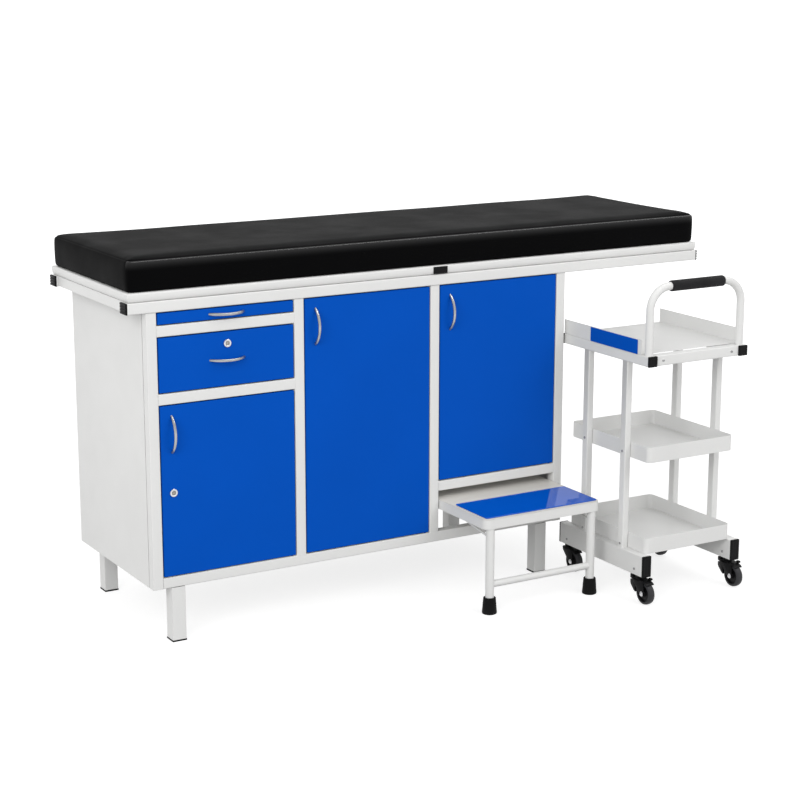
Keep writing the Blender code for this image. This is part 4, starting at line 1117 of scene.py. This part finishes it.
class COUCH_OT_trolley(bpy.types.Operator):
    """Instrument trolley: side frames, front rail, three trays, blue trim, push handle and foam grip"""

    bl_idname = "couch.trolley"
    bl_label = "Trolley"

    def execute(self, context):
        rounding = context.scene.couch_sizes.sheet_rounding
        dress(TROLLEY_FRAMES, "white_paint")
        dress(TROLLEY_TRAYS, "white_paint", rounding)
        dress(["trolley_trim"], "blue_paint", rounding)
        low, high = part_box("trolley_handle")
        y = (low.y + high.y) / 2
        rise = high.z - GRAB_RADIUS - GRAB_BEND - low.z
        across = high.x - low.x - 2 * GRAB_RADIUS - 2 * GRAB_BEND
        quarter = ("bend", Y_AXIS, math.pi / 2, GRAB_BEND)
        moves = (("run", rise), quarter, ("run", across), quarter, ("run", rise))
        start = (low.x + GRAB_RADIUS, y, low.z)
        shape = swept_tube(start, Z_AXIS, GRAB_RADIUS, moves)
        add_piece("trolley_handle_tube", shape, ["white_paint"], "trolley_handle")
        self.build_grip()
        return {"FINISHED"}

    def build_grip(self):
        low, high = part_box("trolley_grip")
        half = (high.x - low.x) / 2
        radius = (high.z - low.z) / 2
        shape = bmesh.new()
        end = tuple((radius - inset, half - back) for inset, back in GRIP_END)
        profile = mirrored(((GRAB_RADIUS + GRIP_PLAY, half), *end), ((radius, 0.0),))
        add_turned(shape, profile, middle("trolley_grip"), X_AXIS)
        add_piece("trolley_grip_foam", shape, ["black_foam"], "trolley_grip")


# Castors

WHEEL_HALF = (
    (0.0044, 0.0110),
    (0.0082, 0.0110),
    (0.0092, 0.0100),
    (0.0098, 0.0062),
    (0.0212, 0.0052),
    (0.0224, 0.0088),
    (0.0236, 0.0098),
    (0.0246, 0.0100),
    (0.0250, 0.0094),
    (0.0256, 0.0104),
    (0.0288, 0.0104),
    (0.0308, 0.0088),
    (0.0320, 0.0060),
    (0.0325, 0.0026),
)
TYRE_INNER = 0.0248
CHEEK_LEVELS = (FORK_TOP - 0.0100, FORK_TOP - 0.0010)


def wheel_shape(hub):
    shape = bmesh.new()
    for face in add_turned(shape, mirrored(WHEEL_HALF), hub, X_AXIS, 56):
        spot = face.calc_center_median() - hub
        if math.hypot(spot.y, spot.z) < TYRE_INNER:
            face.material_index = 1
    return shape


def add_cheek(shape, x, stem, hub):
    """One side of a castor fork: a plate that narrows from the crown to a round eye at the axle."""
    points = []
    for side in (x - FORK_CHEEK / 2, x + FORK_CHEEK / 2):
        place = Matrix.Translation((side, hub.y, hub.z)) @ Matrix.Rotation(math.pi / 2, 4, "Y")
        points += bmesh.ops.create_circle(shape, segments=28, radius=FORK_EYE, matrix=place)["verts"]
        for y in (hub.y - CROWN_FRONT, stem.y + CROWN_BACK):
            points += [shape.verts.new((side, y, z)) for z in CHEEK_LEVELS]
    add_hull(shape, points)


# Castor blocks as cross sections about the stem: y, half width, lowest and highest z
CROWN = (
    (0.0130, 0.0150, 0.0668, 0.0720),
    (-0.0140, 0.0150, 0.0668, 0.0720),
    (-0.0340, 0.0145, 0.0664, 0.0690),
)
VISOR = (
    (-0.0325, 0.0145, 0.0668, 0.0690),
    (-0.0385, 0.0145, 0.0655, 0.0676),
    (-0.0440, 0.0143, 0.0632, 0.0652),
    (-0.0485, 0.0140, 0.0602, 0.0622),
)
TAIL_HOUSING = (
    (0.0062, 0.0116, 0.0290, 0.0640),
    (0.0136, 0.0116, 0.0335, 0.0625),
    (0.0320, 0.0072, 0.0440, 0.0592),
    (0.0368, 0.0058, 0.0490, 0.0588),
)
PEDAL_CAP = (
    (0.0146, 0.0118, 0.0640, 0.0722),
    (0.0350, 0.0068, 0.0625, 0.0752),
    (0.0375, 0.0060, 0.0640, 0.0740),
)
PEDAL_RIBS = (0.0215, 0.0250, 0.0285)
PEDAL_RISE = 0.147
PEDAL_PIN_RADIUS = 0.0030
PEDAL_RIB_LENGTH = 0.0016
PEDAL_RIB_SHARE = 0.45
PEDAL_RIB_ROOT = 0.0010
PEDAL_RIB_TOPS = (0.0007, 0.0009)
FORK_TAB = ((0.0075, -0.0400, 0.0712), (0.0160, -0.0280, 0.0772))

# Roundings of the castor's blocks
CHEEK_ROUNDING = 0.0006
CROWN_ROUNDING = 0.0018
VISOR_ROUNDING = 0.0004
TAIL_ROUNDING = 0.0020
PEDAL_ROUNDING = 0.0011
PEDAL_RIB_ROUNDING = 0.0003

# Turned profiles of the castor: the collar under the rail, and the axle's washer and bolt head
COLLAR = (
    (0.0, -0.0010),
    (0.0135, -0.0010),
    (0.0135, 0.0018),
    (0.0112, 0.0030),
    (0.0112, 0.0044),
    (0.0126, 0.0052),
    (0.0126, 0.0076),
    (0.0, 0.0076),
)
WASHER = ((0.0, 0.0), (0.0070, 0.0), (0.0070, 0.0008), (0.0, 0.0008))
BOLT_HEAD = ((0.0, 0.0008), (0.0052, 0.0008), (0.0052, 0.0030), (0.0044, 0.0038), (0.0, 0.0038))
BOLT_SEAT = 0.0003


def join(shape, other):
    """Adds a second shape to the first."""
    mesh = bpy.data.meshes.new("joined")
    other.to_mesh(mesh)
    other.free()
    shape.from_mesh(mesh)
    bpy.data.meshes.remove(mesh)


def fork_shape(stem, hub, braked):
    """Castor fork: crown with a visor over the wheel, two cheeks, collar, front tab and bolt heads."""
    shape = bmesh.new()
    for way in (-1, 1):
        add_cheek(shape, stem.x + way * (FORK_HALF_WIDTH - FORK_CHEEK / 2), stem, hub)
    bmesh.ops.dissolve_limit(shape, angle_limit=FLAT_ANGLE, verts=shape.verts, edges=shape.edges)
    soften(shape, CHEEK_ROUNDING)
    block = bmesh.new()
    add_taper(block, CROWN, CROWN_ROUNDING)
    add_strip(block, VISOR, VISOR_ROUNDING)
    if braked:
        add_taper(block, TAIL_HOUSING, TAIL_ROUNDING)
    add_soft_box(block, *FORK_TAB, CROWN_ROUNDING)
    bmesh.ops.translate(block, vec=(stem.x, stem.y, 0.0), verts=block.verts)
    join(shape, block)
    add_turned(shape, COLLAR, (stem.x, stem.y, FORK_TOP), Z_AXIS)
    for way in (-1, 1):
        face = Vector((stem.x + way * (FORK_HALF_WIDTH - BOLT_SEAT), hub.y, hub.z))
        add_turned(shape, WASHER, face, X_AXIS * way, 32, material=1)
        add_turned(shape, BOLT_HEAD, face, X_AXIS * way, 6, material=1)
    return shape


def pedal_shape(stem, pivot):
    """Brake pedal: a tapered cap with ribs, on a barrel behind the crown."""
    shape = bmesh.new()
    add_taper(shape, PEDAL_CAP, PEDAL_ROUNDING)
    start, half, _, top = PEDAL_CAP[0]
    wide = half * PEDAL_RIB_SHARE
    for y in PEDAL_RIBS:
        z = top + (y - start) * PEDAL_RISE
        places = zip((y, y + PEDAL_RIB_LENGTH), PEDAL_RIB_TOPS)
        sections = [(place, wide, z - PEDAL_RIB_ROOT, z + rise) for place, rise in places]
        add_taper(shape, sections, PEDAL_RIB_ROUNDING)
    bmesh.ops.translate(shape, vec=(stem.x, stem.y, 0.0), verts=shape.verts)
    reach = X_AXIS * FORK_HALF_WIDTH
    add_rod(shape, pivot - reach, pivot + reach, PEDAL_PIN_RADIUS, 24)
    return shape


class COUCH_OT_castors(bpy.types.Operator):
    """Swivel castors: forks, wheels with a tyre and a hub, and brake pedals on the front pair"""

    bl_idname = "couch.castors"
    bl_label = "Castors"

    def execute(self, context):
        places = joint_places()
        for corner in CORNERS:
            stem = places["castor_" + corner]
            hub = places["castor_wheel_" + corner]
            fork = "castor_fork_" + corner
            wheel = "castor_wheel_" + corner
            brake = "castor_brake_" + corner
            shape = fork_shape(stem, hub, brake in places)
            add_piece(fork + "_moulded", shape, ["black_plastic", "satin_chrome"], fork)
            add_piece(wheel + "_turned", wheel_shape(hub), ["castor_tyre", "black_plastic"], wheel)
            if brake in places:
                add_piece(brake + "_pedal", pedal_shape(stem, places[brake]), ["black_plastic"], brake)
        return {"FINISHED"}


# Plugs, feet and screws


PLUG_CORNER = 0.0022
PLUG_ROUNDING = 0.0008
PLUG_SHARP = math.radians(30.0)

# Steps of the dish in a plug's face: how far each shrinks the outline, and how deep it goes
PLUG_DISH = ((0.0058, 0.0), (0.0010, 0.0008))
PLUG_RIBS = 4
PLUG_SUNK = 0.4
RIB_GAP = 0.0008
RIB_INSET = 0.0006
RIB_ROUNDING = 0.0007
RIB_BASE_ROUNDING = 0.0006
FOOT_MARGIN = Vector((0.0008, 0.0008, 0.0))
FOOT_ROUNDING = 0.0012


def outer_face(shape, axis):
    return max(shape.faces, key=lambda face: face.calc_center_median().dot(axis))


def plug_shape(low, high, axis):
    """An end plug: a flange with rounded corners, and a shallow oblong dished into its face."""
    shape = bmesh.new()
    corners = add_box(shape, low, high)
    soften(shape, PLUG_CORNER, edges_along(corners, axis), 4)
    soften(shape, PLUG_ROUNDING, outer_face(shape, axis).edges, 3)
    face = outer_face(shape, axis)
    centre = face.calc_center_median()
    spread = [max(abs((point.co - centre)[i]) for point in face.verts) for i in range(3)]
    for margin, depth in PLUG_DISH:
        face = bmesh.ops.extrude_discrete_faces(shape, faces=[face])["faces"][0]
        shrunk = [max(side - margin, side * 0.3) if side > MERGE else 1.0 for side in spread]
        grow = [new / old if old > MERGE else 1.0 for new, old in zip(shrunk, spread)]
        bmesh.ops.scale(shape, vec=grow, space=Matrix.Translation(-centre), verts=face.verts)
        bmesh.ops.translate(shape, vec=axis * -depth, verts=face.verts)
        spread = shrunk
    return shape


def ribbed_plug_shape(low, high, axis):
    """An end plug with level ribs across its face."""
    shape = bmesh.new()
    low = Vector(low)
    high = Vector(high)
    sunk = (high.x - low.x) * PLUG_SUNK
    base_low = low + X_AXIS * (sunk if axis.x < 0.0 else 0.0)
    base_high = high - X_AXIS * (sunk if axis.x > 0.0 else 0.0)
    add_soft_box(shape, base_low, base_high, RIB_BASE_ROUNDING)
    pitch = (high.z - low.z) / PLUG_RIBS
    for rib in range(PLUG_RIBS):
        foot = low.z + rib * pitch + RIB_GAP
        near = (low.x, low.y + RIB_INSET, foot)
        far = (high.x, high.y - RIB_INSET, foot + pitch - 2 * RIB_GAP)
        add_soft_box(shape, near, far, RIB_ROUNDING)
    return shape


class COUCH_OT_plugs(bpy.types.Operator):
    """Black plugs in the ends of the couch's and trolley's rails, and the black feet of the legs"""

    bl_idname = "couch.plugs"
    bl_label = "Plugs and feet"

    def execute(self, context):
        sizes = context.scene.couch_sizes
        proud = sizes.plug_proud
        low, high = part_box("top_frame")
        for row, front in (("front", low.y), ("back", high.y - RAIL_DEPTH)):
            for side, start, axis in (("left", low.x - proud, -X_AXIS), ("right", high.x, X_AXIS)):
                near = (start, front, low.z)
                far = (start + proud, front + RAIL_DEPTH, high.z)
                self.add_plug(f"top_rail_plug_{row}_{side}", ribbed_plug_shape(near, far, axis), "couch")
        for side in ("left", "right"):
            low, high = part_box("trolley_side_" + side)
            rail = low.x if side == "left" else high.x - TROLLEY_RAIL
            levels = (("top", high.z - TROLLEY_RAIL, high.z), ("foot", low.z, low.z + TROLLEY_FOOT_RAIL))
            for level, base, top in levels:
                for row, start, axis in (("front", low.y - proud, -Y_AXIS), ("back", high.y, Y_AXIS)):
                    near = (rail, start, base)
                    far = (rail + TROLLEY_RAIL, start + proud, top)
                    shape = plug_shape(near, far, axis)
                    self.add_plug(f"trolley_{level}_plug_{row}_{side}", shape, "trolley")
        for node in LEGS:
            low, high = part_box(node)
            shape = bmesh.new()
            foot_top = Vector((high.x, high.y, sizes.foot_height))
            add_soft_box(shape, low - FOOT_MARGIN, foot_top + FOOT_MARGIN, FOOT_ROUNDING)
            add_piece(node + "_foot", shape, ["black_rubber"], body="couch")
        return {"FINISHED"}

    def add_plug(self, name, shape, body):
        add_piece(name, shape, ["black_plastic"], body=body, sharp=PLUG_SHARP)


# Screws: the head's profile and socket as shares of its radius, and where the screws sit on the trolley
SCREW_HEAD = ((1.0, 0.30), (0.86, 0.52), (0.60, 0.62))
SCREW_SOCKET = 0.4
SCREW_SEAT = 0.0004
POST_INSET = 0.003
POST_SPREAD = 0.0915
TRAY_SCREW_DROP = 0.004
POST_SCREW_RISE = 0.012
FOOT_SCREW_INSET = 0.034
FOOT_SCREW_RISE = 0.018
RAIL_SCREW_INSET = 0.024


def screw_shape(at, axis, radius):
    """A pan-head screw with a round socket."""
    shape = bmesh.new()
    dome = [(radius * out, radius * up) for out, up in SCREW_HEAD]
    add_turned(shape, [(0.0, -SCREW_SEAT), (radius, -SCREW_SEAT), *dome], at, axis, 24)
    rim = [edge for edge in shape.edges if edge.is_boundary]
    made = bmesh.ops.extrude_edge_only(shape, edges=rim)["geom"]
    bmesh.ops.translate(shape, vec=axis * (-SCREW_SOCKET * radius), verts=points_in(made))
    close_ends(shape)
    return shape


def screw_places():
    """Where the trolley's screws sit: name, point and the way that the head faces."""
    left_low, left_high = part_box("trolley_side_left")
    right_low, right_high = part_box("trolley_side_right")
    tray = middle("trolley_middle_tray").z - TRAY_SCREW_DROP
    foot = left_low.z + TROLLEY_FOOT_RAIL + POST_SCREW_RISE
    centre = (left_low.y + left_high.y) / 2
    found = []
    left = left_low.x + POST_INSET
    right = right_high.x - POST_INSET
    for side, x, way in (("left", left, -X_AXIS), ("right", right, X_AXIS)):
        for row, y in (("front", centre - POST_SPREAD), ("back", centre + POST_SPREAD)):
            for level, z in (("tray", tray), ("foot", foot)):
                found.append((f"post_screw_{level}_{row}_{side}", Vector((x, y, z)), way))
    for side, low, high in (("left", left_low, left_high), ("right", right_low, right_high)):
        for row, y in (("front", low.y + FOOT_SCREW_INSET), ("back", high.y - FOOT_SCREW_INSET)):
            for face, x, way in (("outer", low.x, -X_AXIS), ("inner", high.x, X_AXIS)):
                at = Vector((x, y, low.z + FOOT_SCREW_RISE))
                found.append((f"foot_rail_screw_{row}_{side}_{face}", at, way))
    low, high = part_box("trolley_front_rail")
    for side, x in (("left", low.x + RAIL_SCREW_INSET), ("right", high.x - RAIL_SCREW_INSET)):
        found.append(("front_rail_screw_" + side, Vector((x, low.y, (low.z + high.z) / 2)), -Y_AXIS))
    return found


class COUCH_OT_screws(bpy.types.Operator):
    """Screw heads on the trolley's posts, foot rails and front rail"""

    bl_idname = "couch.screws"
    bl_label = "Screws"

    def execute(self, context):
        radius = context.scene.couch_sizes.screw_radius
        for name, at, axis in screw_places():
            add_piece(name, screw_shape(at, axis, radius), ["satin_nickel"], body="trolley")
        return {"FINISHED"}


# Studio


# Floor: where its white begins and is full, its reach, and its two greys
NEAR_FLOOR = 1.6
FAR_FLOOR = 4.5
FLOOR_REACH = 150.0
FLOOR_GREYS = ((0.425, 0.425, 0.425, 1.0), (0.435, 0.435, 0.435, 1.0))
WHITE = (1.0, 1.0, 1.0, 1.0)

# Lamps: places, aims and sizes
LAMP_AIM = (0.0, 0.1, 0.6)
KEY_PLACE = (-4.6, -3.4, 3.0)
FILL_PLACE = (2.2, -4.6, 4.0)
SOFT_LAMP = (3.0, 3.0)
STRIP_PLACE = (1.75, -1.05, 4.0)
STRIP_AIM = (1.75, -0.3, 1.0)
STRIP_LAMP = (5.0, 0.4)


def floor_material(glow):
    """Pale floor: it takes the object's shadow, and turns white to the camera further away."""
    made = bpy.data.materials.new("studio_floor")
    made.use_nodes = True
    tree = made.node_tree
    coords = object_coords(tree)
    away = add_node(tree, "ShaderNodeVectorMath", {0: coords}, operation="LENGTH").outputs["Value"]
    shine = remap(tree, away, NEAR_FLOOR, FAR_FLOOR, glow, 1.0)
    seen = seen_by(tree, "Is Camera Ray", "Is Glossy Ray")
    values = {
        "Base Color": mix_colours(tree, add_noise(tree, coords, 4.0), *FLOOR_GREYS),
        "Specular IOR Level": 0.0,
        "Roughness": 1.0,
        "Emission Color": WHITE,
        "Emission Strength": math_node(tree, "MULTIPLY", seen, shine),
    }
    for socket, value in values.items():
        feed(tree, tree.nodes["Principled BSDF"].inputs[socket], value)
    return made


def build_world(dome):
    """An even dome that is white to the camera, in reflections and through glass, and softer as a light."""
    world = bpy.data.worlds.new("studio")
    world.use_nodes = True
    tree = world.node_tree
    seen = seen_by(tree, "Is Camera Ray", "Is Glossy Ray", "Is Transmission Ray")
    back = tree.nodes["Background"].inputs
    feed(tree, back["Color"], WHITE)
    feed(tree, back["Strength"], remap(tree, seen, 0.0, 1.0, dome, 1.0))
    bpy.context.scene.world = world


def add_lamp(name, place, aim, size, watts, mirrored=False):
    """A soft rectangular lamp. A mirrored one lights glossy surfaces alone, and the others all but those."""
    data = bpy.data.lights.new(name, "AREA")
    data.shape = "RECTANGLE"
    data.size, data.size_y = size
    data.energy = watts
    lamp = bpy.data.objects.new(name, data)
    bpy.context.scene.collection.objects.link(lamp)
    place = Vector(place)
    turn = (Vector(aim) - place).to_track_quat("-Z", "Y").to_matrix().to_4x4()
    lamp.matrix_world = Matrix.Translation(place) @ turn
    lamp.visible_camera = False
    lamp.visible_glossy = mirrored
    lamp.visible_diffuse = not mirrored


class COUCH_OT_stage(bpy.types.Operator):
    """Pale floor, soft studio light and a camera at the picture's viewing angle"""

    bl_idname = "couch.stage"
    bl_label = "Studio"

    def execute(self, context):
        studio = context.scene.couch_studio
        context.scene.view_settings.view_transform = "Standard"
        shape = bmesh.new()
        bmesh.ops.create_grid(shape, x_segments=8, y_segments=8, size=FLOOR_REACH)
        floor = add_object("studio_floor", shape)
        shape.free()
        floor.data.materials.append(floor_material(studio.floor_glow))
        build_world(studio.dome)
        add_lamp("key_lamp", KEY_PLACE, LAMP_AIM, SOFT_LAMP, studio.key_power)
        add_lamp("fill_lamp", FILL_PLACE, LAMP_AIM, SOFT_LAMP, studio.fill_power)
        add_lamp("strip_lamp", STRIP_PLACE, STRIP_AIM, STRIP_LAMP, studio.strip_power, mirrored=True)
        data = bpy.data.cameras.new("camera")
        data.lens = CAMERA_LENS
        data.sensor_width = CAMERA_SENSOR
        camera = bpy.data.objects.new("camera", data)
        context.scene.collection.objects.link(camera)
        turn = Matrix((CAMERA_RIGHT, CAMERA_UP, CAMERA_BACK)).transposed().to_4x4()
        camera.matrix_world = Matrix.Translation(CAMERA_PLACE) @ turn
        context.scene.camera = camera
        return {"FINISHED"}


OPERATORS = (
    COUCH_OT_stage,
    COUCH_OT_mattress,
    COUCH_OT_cabinet,
    COUCH_OT_fronts,
    COUCH_OT_handles,
    COUCH_OT_locks,
    COUCH_OT_step,
    COUCH_OT_trolley,
    COUCH_OT_castors,
    COUCH_OT_plugs,
    COUCH_OT_screws,
)


class COUCH_PT_panel(bpy.types.Panel):
    """Lists the couch's operators and properties"""

    bl_label = "Examination couch"
    bl_idname = "COUCH_PT_panel"
    bl_space_type = "VIEW_3D"
    bl_region_type = "UI"
    bl_category = "Couch"

    def draw(self, context):
        scene = context.scene
        for operator in OPERATORS:
            self.layout.operator(operator.bl_idname)
        for group in (scene.couch_sizes, scene.couch_colours, scene.couch_studio):
            box = self.layout.box()
            for name in group.__annotations__:
                box.prop(group, name)


CLASSES = (CouchSizes, CouchColours, CouchStudio, *OPERATORS, COUCH_PT_panel)


def register():
    for item in CLASSES:
        bpy.utils.register_class(item)
    bpy.types.Scene.couch_sizes = bpy.props.PointerProperty(type=CouchSizes)
    bpy.types.Scene.couch_colours = bpy.props.PointerProperty(type=CouchColours)
    bpy.types.Scene.couch_studio = bpy.props.PointerProperty(type=CouchStudio)


def unregister():
    del bpy.types.Scene.couch_studio
    del bpy.types.Scene.couch_colours
    del bpy.types.Scene.couch_sizes
    for item in reversed(CLASSES):
        bpy.utils.unregister_class(item)


def main():
    register()
    for operator in OPERATORS:
        getattr(bpy.ops.couch, operator.bl_idname.split(".")[1])()


if __name__ == "__main__":
    main()
